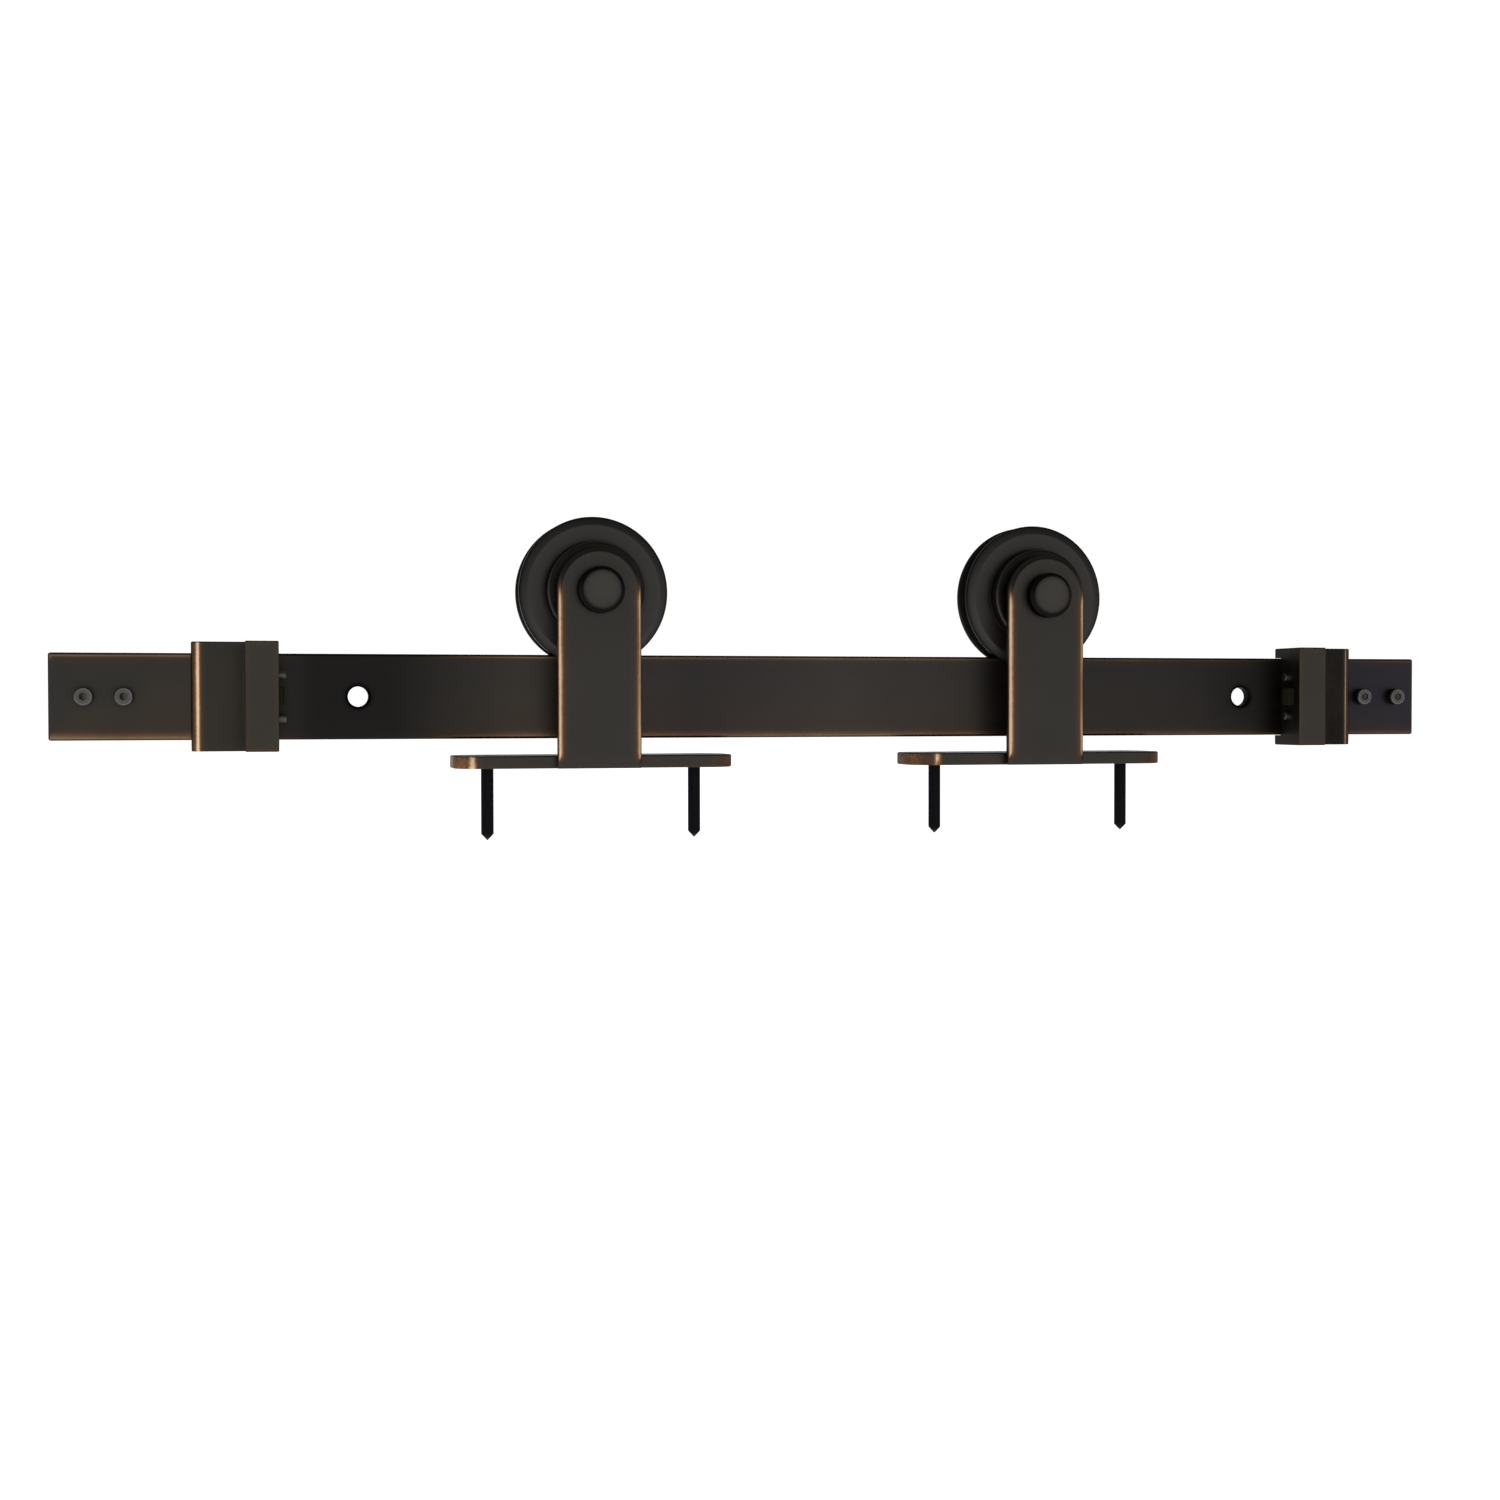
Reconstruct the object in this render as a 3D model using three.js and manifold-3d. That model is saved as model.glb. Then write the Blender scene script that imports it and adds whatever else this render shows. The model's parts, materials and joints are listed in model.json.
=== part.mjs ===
// Sliding barn door hardware: a flat steel rail, two T-plate hangers that run on
// grooved ball-bearing wheels, and two stops clamped over the rail.
// Millimetres. X runs along the rail, +Z is up and the front of the hardware faces -Y.
// The origin is the middle of the rail's back face.
import * as THREE from 'three';
import { mergeVertices } from 'three/addons/utils/BufferGeometryUtils.js';
import Module from 'manifold-3d';

const wasm = await Module();
wasm.setup();

// Rail
const RAIL_LENGTH = 692;
const RAIL_HEIGHT = 40;
const RAIL_THICKNESS = 6;
const RAIL_BEVEL = 1;
const MOUNTING_HOLE_RADIUS = 4.75;
const LEFT_MOUNTING_HOLE_INSET = 138; // from the rail's left end
const RIGHT_MOUNTING_HOLE_INSET = 101; // from the rail's right end

// Joint screws at each end of the rail, with a nut behind
const LEFT_JOINT_SCREW_INSETS = [15.5, 33];
const RIGHT_JOINT_SCREW_INSETS = [12, 31.5];
const JOINT_SCREW_RADIUS = 2.5;
const JOINT_SCREW_HEAD_RADIUS = 4.25;
const JOINT_SCREW_HEAD_HEIGHT = 5;
const JOINT_SOCKET_RADIUS = 2.3;
const JOINT_SOCKET_DEPTH = 2.5;
const JOINT_NUT_RADIUS = 4.6;
const JOINT_NUT_THICKNESS = 4;
const JOINT_SCREW_END = 1.5; // thread left past the nut

// Wheel: a groove between two flanges, and a hub in front
const GROOVE_RADIUS = 30;
const GROOVE_SIDE_GAP = 0.5;
const GROOVE_FLARE = 1;
const FLANGE_HEIGHT = 6;
const FLANGE_THICKNESS = 5;
const FLANGE_BEVEL = 1.5;
const FLANGE_BEVEL_WIDTH = 4;
const HUB_RADIUS = 23.5;
const HUB_LENGTH = 8.5;
const HUB_BEVEL = 1;
const TREAD_CLEARANCE = 0.05;

// Ball bearing in the wheel, on the middle plane of the groove
const BEARING_RADIUS = 16;
const BEARING_WIDTH = 10;
const BEARING_RING_WALL = 2.6;
const BEARING_SHOULDER = 3.5;
const BEARING_BALLS = 8;
const BALL_CLEARANCE = 0.1;
const CAGE_WALL = 1.2;
const SHIELD_THICKNESS = 0.6;
const SHIELD_RECESS = 0.3;
const SHIELD_GAP = 0.3;
const RETAINING_RING_THICKNESS = 1.2;
const RETAINING_RING_WALL = 2.2;
const RETAINING_RING_GROOVE = 0.9;
const RETAINING_RING_MOUTH = 7;
const SEAT_GAP = 0.02; // around pressed rings
const RING_END_GAP = 0.3;

// Axle bolt with its spacer, washer and nut
const AXLE_RADIUS = 6;
const AXLE_GAP = 0.06;
const AXLE_HEAD_RADIUS = 11;
const AXLE_HEAD_HEIGHT = 6.5;
const AXLE_HEAD_BEVEL = 1.2;
const AXLE_HOLE_CLEARANCE = 0.3;
const SPACER_WALL = 2.7;
const HUB_TO_STRAP_GAP = 2;
const WASHER_WALL = 3.9;
const WASHER_THICKNESS = 2;
const AXLE_NUT_RADIUS = 10.9;
const AXLE_NUT_THICKNESS = 10;
const AXLE_END = 2;

// Hanger strap and the T plate welded behind its foot
const LEFT_HANGER_X = -97;
const RIGHT_HANGER_X = 128;
const STRAP_WIDTH = 40;
const STRAP_THICKNESS = 6;
const STRAP_BEVEL = 1.8;
const PLATE_LENGTH = 135;
const PLATE_DEPTH = 38;
const PLATE_THICKNESS = 6;
const PLATE_CORNER_RADIUS = 13;
const PLATE_BEVEL = 0.8;
const PLATE_TO_RAIL_GAP = 8;

// Door screws, countersunk in the T plate
const DOOR_SCREW_SPACING = 101;
const DOOR_SCREW_RADIUS = 3;
const DOOR_SCREW_HEAD_RADIUS = 5.8;
const DOOR_SCREW_LENGTH = 40.5;
const DOOR_SCREW_POINT = 3;
const DOOR_SCREW_CLEARANCE = 0.3;
const DRIVE_RADIUS = 2;
const DRIVE_DEPTH = 1.8;

// Stops
const LEFT_STOP_INSET = 101.5; // rail's left end to the stop's inner face
const RIGHT_STOP_INSET = 78; // rail's right end to the stop's inner face
const STOP_LENGTH = 39;
const STOP_LIP = 5;
const STOP_CLEARANCE = 0.25;
const STOP_WALL = 3;
const STOP_BLOCK_LENGTH = 15;
const STOP_BLOCK_DEPTH = 20; // in front of the rail
const STOP_OUTER_BEVEL = 2;
const STOP_BEVEL = 0.7;
const BUFFER_WIDTH = 8;
const BUFFER_HEIGHT = 9;
const BUFFER_STICKOUT = 2.7;
const BUFFER_POCKET = 4;
const BUFFER_GAP = 0.1;
const BUFFER_SCREW_SPACING = 20;
const BUFFER_SCREW_RADIUS = 1.9;
const BUFFER_SCREW_STICKOUT = 3.5;
const BUFFER_SCREW_LENGTH = 11.5;
const SET_SCREW_RADIUS = 2;
const SET_SCREW_SPACING = 12;
const SET_SCREW_GAP = 0.1; // from the rail's lower edge
const SMALL_SOCKET_RADIUS = 1.1;
const SMALL_SOCKET_DEPTH = 1.6;
const THREAD_GAP = 0.08;

// Roundness
const WHEEL_SEGMENTS = 32;
const SCREW_SEGMENTS = 16;
const STRAP_ARC_SEGMENTS = 14;
const CORNER_ARC_SEGMENTS = 5;

// Planes and heights that several pieces share
const RAIL_FRONT = -RAIL_THICKNESS;
const RAIL_MIDDLE = -RAIL_THICKNESS / 2;
const RAIL_TOP = RAIL_HEIGHT / 2;
const AXLE_Z = RAIL_TOP + GROOVE_RADIUS + TREAD_CLEARANCE;
const GROOVE_WIDTH = RAIL_THICKNESS + 2 * GROOVE_SIDE_GAP;
const FLANGE_RADIUS = GROOVE_RADIUS + FLANGE_HEIGHT;
const WHEEL_SIDE = GROOVE_WIDTH / 2 + FLANGE_THICKNESS;
const HUB_FRONT = -WHEEL_SIDE - HUB_LENGTH;
const BEARING_SIDE = BEARING_WIDTH / 2;
const STRAP_BACK = RAIL_MIDDLE + HUB_FRONT - HUB_TO_STRAP_GAP;
const STRAP_FRONT = STRAP_BACK - STRAP_THICKNESS;
const PLATE_TOP = -RAIL_TOP - PLATE_TO_RAIL_GAP;
const PLATE_BOTTOM = PLATE_TOP - PLATE_THICKNESS;
const PLATE_MIDDLE = STRAP_BACK + PLATE_DEPTH / 2;

const bronze = new THREE.MeshStandardMaterial({ color: 0x2b2622, roughness: 0.45, metalness: 0.7 });
const wheelSteel = new THREE.MeshStandardMaterial({ color: 0x24211f, roughness: 0.5, metalness: 0.6 });
const blackSteel = new THREE.MeshStandardMaterial({ color: 0x141414, roughness: 0.55, metalness: 0.5 });
const greySteel = new THREE.MeshStandardMaterial({ color: 0x4a4744, roughness: 0.4, metalness: 0.8 });
const bearingSteel = new THREE.MeshStandardMaterial({ color: 0xb8babd, roughness: 0.25, metalness: 0.9 });
const rubber = new THREE.MeshStandardMaterial({ color: 0x1c1b17, roughness: 0.85, metalness: 0 });

// Turns a closed mesh into a manifold solid.
function solidOf(geometry) {
  const bare = geometry.clone();
  bare.deleteAttribute('normal');
  bare.deleteAttribute('uv');
  const merged = mergeVertices(bare, 1e-4);
  const mesh = new wasm.Mesh({
    numProp: 3,
    vertProperties: new Float32Array(merged.attributes.position.array),
    triVerts: new Uint32Array(merged.index.array),
  });
  return new wasm.Manifold(mesh);
}

function geometryOf(solid) {
  const mesh = solid.getMesh();
  const geometry = new THREE.BufferGeometry();
  geometry.setAttribute('position', new THREE.BufferAttribute(new Float32Array(mesh.vertProperties), 3));
  geometry.setIndex(new THREE.BufferAttribute(new Uint32Array(mesh.triVerts), 1));
  geometry.computeVertexNormals();
  return geometry;
}

function cut(geometry, cutters) {
  let solid = solidOf(geometry);
  for (const cutter of cutters) {
    solid = solid.subtract(solidOf(cutter));
  }
  return geometryOf(solid);
}

// Turns a profile of [radius, y] points about Y. The profile runs from the -Y end along
// the outside to the +Y end, and either starts and ends on the axis or closes on itself.
function turned(profile, segments = SCREW_SEGMENTS) {
  const points = profile.map(([radius, y]) => new THREE.Vector2(radius, y));
  return new THREE.LatheGeometry(points, segments);
}

// A tube or ring about Y, from y0 to y1.
function tube(inner, outer, y0, y1, segments = SCREW_SEGMENTS) {
  return turned([[inner, y0], [outer, y0], [outer, y1], [inner, y1], [inner, y0]], segments);
}

// A plain rod about Y, from y0 to y1.
function rod(radius, y0, y1, segments = SCREW_SEGMENTS) {
  return turned([[0, y0], [radius, y0], [radius, y1], [0, y1]], segments);
}

// A six-sided rod about Y, for nuts and sockets. The radius is to its corners.
function hexRod(radius, y0, y1) {
  return rod(radius, y0, y1, 6);
}

function box(x0, x1, y0, y1, z0, z1) {
  const geometry = new THREE.BoxGeometry(x1 - x0, y1 - y0, z1 - z0);
  return geometry.translate((x0 + x1) / 2, (y0 + y1) / 2, (z0 + z1) / 2);
}

// Extrudes an outline along +Z from zero, with all edges of both faces bevelled.
function bevelledSlab(shape, thickness, bevel, arcSegments = CORNER_ARC_SEGMENTS) {
  const geometry = new THREE.ExtrudeGeometry(shape, {
    depth: thickness - 2 * bevel,
    bevelEnabled: true,
    bevelThickness: bevel,
    bevelSize: bevel,
    bevelOffset: -bevel,
    bevelSegments: 1,
    curveSegments: arcSegments,
  });
  return geometry.translate(0, 0, bevel);
}

// Stands a slab up, so that its outline faces -Y and its thickness runs back from y = front.
function uprightSlab(shape, front, thickness, bevel, arcSegments) {
  const slab = bevelledSlab(shape, thickness, bevel, arcSegments);
  return slab.rotateX(Math.PI / 2).translate(0, front + thickness, 0);
}

const hardware = new THREE.Group();

function add(parent, name, geometry, material, position = [0, 0, 0]) {
  const mesh = new THREE.Mesh(geometry, material);
  mesh.name = name;
  mesh.position.set(...position);
  parent.add(mesh);
}

// ---- Rail and its joint screws ----

function rectangle(halfWidth, halfHeight) {
  const shape = new THREE.Shape();
  shape.moveTo(-halfWidth, -halfHeight);
  shape.lineTo(halfWidth, -halfHeight);
  shape.lineTo(halfWidth, halfHeight);
  shape.lineTo(-halfWidth, halfHeight);
  return shape;
}

const mountingHoles = [
  -RAIL_LENGTH / 2 + LEFT_MOUNTING_HOLE_INSET,
  RAIL_LENGTH / 2 - RIGHT_MOUNTING_HOLE_INSET,
];
const jointScrews = [
  ['left_outer', -RAIL_LENGTH / 2 + LEFT_JOINT_SCREW_INSETS[0]],
  ['left_inner', -RAIL_LENGTH / 2 + LEFT_JOINT_SCREW_INSETS[1]],
  ['right_inner', RAIL_LENGTH / 2 - RIGHT_JOINT_SCREW_INSETS[1]],
  ['right_outer', RAIL_LENGTH / 2 - RIGHT_JOINT_SCREW_INSETS[0]],
];

function railGeometry() {
  const bar = uprightSlab(rectangle(RAIL_LENGTH / 2, RAIL_TOP), RAIL_FRONT, RAIL_THICKNESS, RAIL_BEVEL);
  const chamfered = [
    [MOUNTING_HOLE_RADIUS + RAIL_BEVEL, RAIL_FRONT - RAIL_BEVEL],
    [MOUNTING_HOLE_RADIUS + RAIL_BEVEL, RAIL_FRONT],
    [MOUNTING_HOLE_RADIUS, RAIL_FRONT + RAIL_BEVEL],
    [MOUNTING_HOLE_RADIUS, RAIL_BEVEL],
  ];
  const mountingDrill = [[0, RAIL_FRONT - RAIL_BEVEL], ...chamfered, [0, RAIL_BEVEL]];
  const cutters = mountingHoles.map((x) => turned(mountingDrill).translate(x, 0, 0));
  for (const [, x] of jointScrews) {
    const radius = JOINT_SCREW_RADIUS + THREAD_GAP;
    cutters.push(rod(radius, RAIL_FRONT - RAIL_BEVEL, RAIL_BEVEL).translate(x, 0, 0));
  }
  return cut(bar, cutters);
}

add(hardware, 'rail', railGeometry(), bronze);

for (const [place, x] of jointScrews) {
  const headFront = RAIL_FRONT - JOINT_SCREW_HEAD_HEIGHT;
  const headEdge = 0.5;
  const screw = turned([
    [0, headFront],
    [JOINT_SCREW_HEAD_RADIUS - headEdge, headFront],
    [JOINT_SCREW_HEAD_RADIUS, headFront + headEdge],
    [JOINT_SCREW_HEAD_RADIUS, RAIL_FRONT],
    [JOINT_SCREW_RADIUS, RAIL_FRONT],
    [JOINT_SCREW_RADIUS, JOINT_NUT_THICKNESS + JOINT_SCREW_END],
    [0, JOINT_NUT_THICKNESS + JOINT_SCREW_END],
  ]);
  const socket = hexRod(JOINT_SOCKET_RADIUS, headFront - 1, headFront + JOINT_SOCKET_DEPTH);
  add(hardware, `joint_screw_${place}`, cut(screw, [socket]), greySteel, [x, 0, 0]);
  const nut = hexRod(JOINT_NUT_RADIUS, 0, JOINT_NUT_THICKNESS);
  const thread = rod(JOINT_SCREW_RADIUS + THREAD_GAP, -1, JOINT_NUT_THICKNESS + 1);
  add(hardware, `joint_nut_${place}`, cut(nut, [thread]), greySteel, [x, 0, 0]);
}

// ---- Hangers ----

function strapGeometry() {
  const half = STRAP_WIDTH / 2;
  const shape = new THREE.Shape();
  shape.moveTo(-half, PLATE_BOTTOM);
  shape.lineTo(half, PLATE_BOTTOM);
  shape.lineTo(half, AXLE_Z);
  shape.absarc(0, AXLE_Z, half, 0, Math.PI, false);
  const strap = uprightSlab(shape, STRAP_FRONT, STRAP_THICKNESS, STRAP_BEVEL, STRAP_ARC_SEGMENTS);
  const hole = rod(AXLE_RADIUS + AXLE_HOLE_CLEARANCE, STRAP_FRONT - 1, STRAP_BACK + 1);
  return cut(strap, [hole.translate(0, 0, AXLE_Z)]);
}

function roundedRectangle(length, width, radius) {
  const x = length / 2 - radius;
  const y = width / 2 - radius;
  const shape = new THREE.Shape();
  shape.absarc(x, -y, radius, -Math.PI / 2, 0, false);
  shape.absarc(x, y, radius, 0, Math.PI / 2, false);
  shape.absarc(-x, y, radius, Math.PI / 2, Math.PI, false);
  shape.absarc(-x, -y, radius, Math.PI, 1.5 * Math.PI, false);
  return shape;
}

// A countersunk screw lying along +Y with the top of its head at y = 0.
function doorScrewGeometry() {
  const screw = turned([
    [0, 0],
    [DOOR_SCREW_HEAD_RADIUS, 0],
    [DOOR_SCREW_RADIUS, DOOR_SCREW_HEAD_RADIUS - DOOR_SCREW_RADIUS],
    [DOOR_SCREW_RADIUS, DOOR_SCREW_LENGTH - DOOR_SCREW_POINT],
    [0, DOOR_SCREW_LENGTH],
  ]);
  return cut(screw, [hexRod(DRIVE_RADIUS, -1, DRIVE_DEPTH)]);
}

function plateGeometry() {
  const shape = roundedRectangle(PLATE_LENGTH, PLATE_DEPTH, PLATE_CORNER_RADIUS);
  const plate = bevelledSlab(shape, PLATE_THICKNESS, PLATE_BEVEL).translate(0, PLATE_MIDDLE, PLATE_BOTTOM);
  const hole = DOOR_SCREW_RADIUS + DOOR_SCREW_CLEARANCE;
  const sink = DOOR_SCREW_HEAD_RADIUS + DOOR_SCREW_CLEARANCE;
  const drill = turned([[0, -1], [sink, -1], [sink, 0], [hole, sink - hole], [hole, PLATE_THICKNESS + 1],
    [0, PLATE_THICKNESS + 1]]).rotateX(-Math.PI / 2);
  return cut(plate, [-1, 1].map((side) => (
    drill.clone().translate(side * DOOR_SCREW_SPACING / 2, PLATE_MIDDLE, PLATE_TOP))));
}

function axleBoltGeometry() {
  const head = STRAP_FRONT - AXLE_HEAD_HEIGHT;
  const end = RAIL_MIDDLE + BEARING_SIDE + WASHER_THICKNESS + AXLE_NUT_THICKNESS + AXLE_END;
  return turned([
    [0, head],
    [AXLE_HEAD_RADIUS - AXLE_HEAD_BEVEL, head],
    [AXLE_HEAD_RADIUS, head + AXLE_HEAD_BEVEL],
    [AXLE_HEAD_RADIUS, STRAP_FRONT],
    [AXLE_RADIUS, STRAP_FRONT],
    [AXLE_RADIUS, end - 1],
    [AXLE_RADIUS - 1, end],
    [0, end],
  ], WHEEL_SEGMENTS);
}

// The wheel, with y measured from the middle of its groove.
function wheelGeometry() {
  const floor = GROOVE_WIDTH / 2;
  const seat = BEARING_RADIUS + SEAT_GAP;
  const bore = BEARING_RADIUS - BEARING_SHOULDER;
  const ringGroove = BEARING_SIDE + RING_END_GAP;
  const ringGrooveEnd = ringGroove + RETAINING_RING_THICKNESS + 2 * RING_END_GAP;
  const ringGrooveRadius = BEARING_RADIUS + RETAINING_RING_GROOVE;
  return turned([
    [bore, HUB_FRONT],
    [HUB_RADIUS - HUB_BEVEL, HUB_FRONT],
    [HUB_RADIUS, HUB_FRONT + HUB_BEVEL],
    [HUB_RADIUS, -WHEEL_SIDE],
    [FLANGE_RADIUS - FLANGE_BEVEL_WIDTH, -WHEEL_SIDE],
    [FLANGE_RADIUS, -WHEEL_SIDE + FLANGE_BEVEL],
    [FLANGE_RADIUS, -floor - GROOVE_FLARE],
    [GROOVE_RADIUS, -floor],
    [GROOVE_RADIUS, floor],
    [FLANGE_RADIUS, floor + GROOVE_FLARE],
    [FLANGE_RADIUS, WHEEL_SIDE - FLANGE_BEVEL],
    [FLANGE_RADIUS - FLANGE_BEVEL_WIDTH, WHEEL_SIDE],
    [seat, WHEEL_SIDE],
    [seat, ringGrooveEnd],
    [ringGrooveRadius, ringGrooveEnd],
    [ringGrooveRadius, ringGroove],
    [seat, ringGroove],
    [seat, -BEARING_SIDE],
    [bore, -BEARING_SIDE],
    [bore, HUB_FRONT],
  ], WHEEL_SEGMENTS);
}

const innerRingOuter = AXLE_RADIUS + BEARING_RING_WALL;
const outerRingInner = BEARING_RADIUS - BEARING_RING_WALL;

// The balls sit in a thin ring-shaped cage that holds them evenly apart.
function ballCageGeometry() {
  const pitch = (innerRingOuter + outerRingInner) / 2;
  const ball = (outerRingInner - innerRingOuter) / 2 - BALL_CLEARANCE;
  let cage = solidOf(tube(pitch - CAGE_WALL / 2, pitch + CAGE_WALL / 2, -CAGE_WALL / 2, CAGE_WALL / 2));
  for (let i = 0; i < BEARING_BALLS; i++) {
    const angle = (i / BEARING_BALLS) * 2 * Math.PI;
    const sphere = new THREE.SphereGeometry(ball, 6, 5);
    cage = cage.add(solidOf(sphere.translate(pitch * Math.cos(angle), 0, pitch * Math.sin(angle))));
  }
  return geometryOf(cage);
}

// A snap ring, open at the top so that it can be squeezed into its groove.
function retainingRingGeometry() {
  const outer = BEARING_RADIUS + RETAINING_RING_GROOVE - SEAT_GAP;
  const start = BEARING_SIDE + 2 * RING_END_GAP;
  const ring = tube(outer - RETAINING_RING_WALL, outer, start, start + RETAINING_RING_THICKNESS, WHEEL_SEGMENTS);
  const mouth = RETAINING_RING_MOUTH / 2;
  return cut(ring, [box(-mouth, mouth, start - 1, start + RETAINING_RING_THICKNESS + 1, 0, outer + 1)]);
}

function addHanger(side, x) {
  const hanger = new THREE.Group();
  hanger.position.x = x;
  hardware.add(hanger);
  add(hanger, `${side}_strap`, strapGeometry(), bronze);
  add(hanger, `${side}_t_plate`, plateGeometry(), bronze);
  for (const [place, end] of [['left', -1], ['right', 1]]) {
    const screw = doorScrewGeometry().rotateX(-Math.PI / 2);
    const position = [end * DOOR_SCREW_SPACING / 2, PLATE_MIDDLE, PLATE_TOP];
    add(hanger, `${side}_door_screw_${place}`, screw, blackSteel, position);
  }

  // Everything on the axle, from the bolt's head in front to the nut behind
  const axleBore = AXLE_RADIUS + AXLE_GAP;
  const bearingFront = RAIL_MIDDLE - BEARING_SIDE;
  const bearingBack = RAIL_MIDDLE + BEARING_SIDE;
  const nutFront = bearingBack + WASHER_THICKNESS;
  const onAxle = [0, 0, AXLE_Z];
  const onBearing = [0, RAIL_MIDDLE, AXLE_Z];
  add(hanger, `${side}_axle_bolt`, axleBoltGeometry(), bronze, onAxle);
  const spacer = tube(axleBore, axleBore + SPACER_WALL, STRAP_BACK, bearingFront, WHEEL_SEGMENTS);
  add(hanger, `${side}_axle_spacer`, spacer, blackSteel, onAxle);
  const washer = tube(axleBore, axleBore + WASHER_WALL, bearingBack, nutFront, WHEEL_SEGMENTS);
  add(hanger, `${side}_axle_washer`, washer, greySteel, onAxle);
  const nutBlank = hexRod(AXLE_NUT_RADIUS, nutFront, nutFront + AXLE_NUT_THICKNESS);
  const nut = cut(nutBlank, [rod(axleBore, nutFront - 1, nutFront + AXLE_NUT_THICKNESS + 1, WHEEL_SEGMENTS)]);
  add(hanger, `${side}_axle_nut`, nut, greySteel, onAxle);
  const innerRing = tube(axleBore, innerRingOuter, -BEARING_SIDE, BEARING_SIDE, WHEEL_SEGMENTS);
  add(hanger, `${side}_bearing_inner_ring`, innerRing, bearingSteel, onBearing);

  // Everything that turns with the wheel
  add(hanger, `${side}_wheel`, wheelGeometry(), wheelSteel, onBearing);
  const outerRing = tube(outerRingInner, BEARING_RADIUS, -BEARING_SIDE, BEARING_SIDE, WHEEL_SEGMENTS);
  add(hanger, `${side}_bearing_outer_ring`, outerRing, bearingSteel, onBearing);
  add(hanger, `${side}_bearing_balls`, ballCageGeometry(), bearingSteel, onBearing);
  const shieldOuter = outerRingInner - SEAT_GAP;
  const shieldInner = innerRingOuter + SHIELD_GAP;
  const shieldY = BEARING_SIDE - SHIELD_RECESS - SHIELD_THICKNESS;
  for (const [place, y] of [['front', -shieldY - SHIELD_THICKNESS], ['rear', shieldY]]) {
    const shield = tube(shieldInner, shieldOuter, y, y + SHIELD_THICKNESS, WHEEL_SEGMENTS);
    add(hanger, `${side}_bearing_shield_${place}`, shield, blackSteel, onBearing);
  }
  add(hanger, `${side}_retaining_ring`, retainingRingGeometry(), blackSteel, onBearing);
}

addHanger('left', LEFT_HANGER_X);
addHanger('right', RIGHT_HANGER_X);

// ---- Stops ----

const STOP_CHANNEL = RAIL_TOP + STOP_CLEARANCE;
const STOP_HALF_HEIGHT = STOP_CHANNEL + STOP_LIP;
const STOP_CHANNEL_FRONT = RAIL_FRONT - STOP_CLEARANCE;
const STOP_BLOCK_FRONT = RAIL_FRONT - STOP_BLOCK_DEPTH;
const BUFFER_Y = RAIL_FRONT - STOP_BLOCK_DEPTH / 2;

// A socket screw along +X with the mouth of its socket at x = 0.
function socketSetScrew(radius, length) {
  const screw = rod(radius, 0, length);
  const socket = hexRod(SMALL_SOCKET_RADIUS, -1, SMALL_SOCKET_DEPTH);
  return cut(screw, [socket]).rotateZ(-Math.PI / 2);
}

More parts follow.
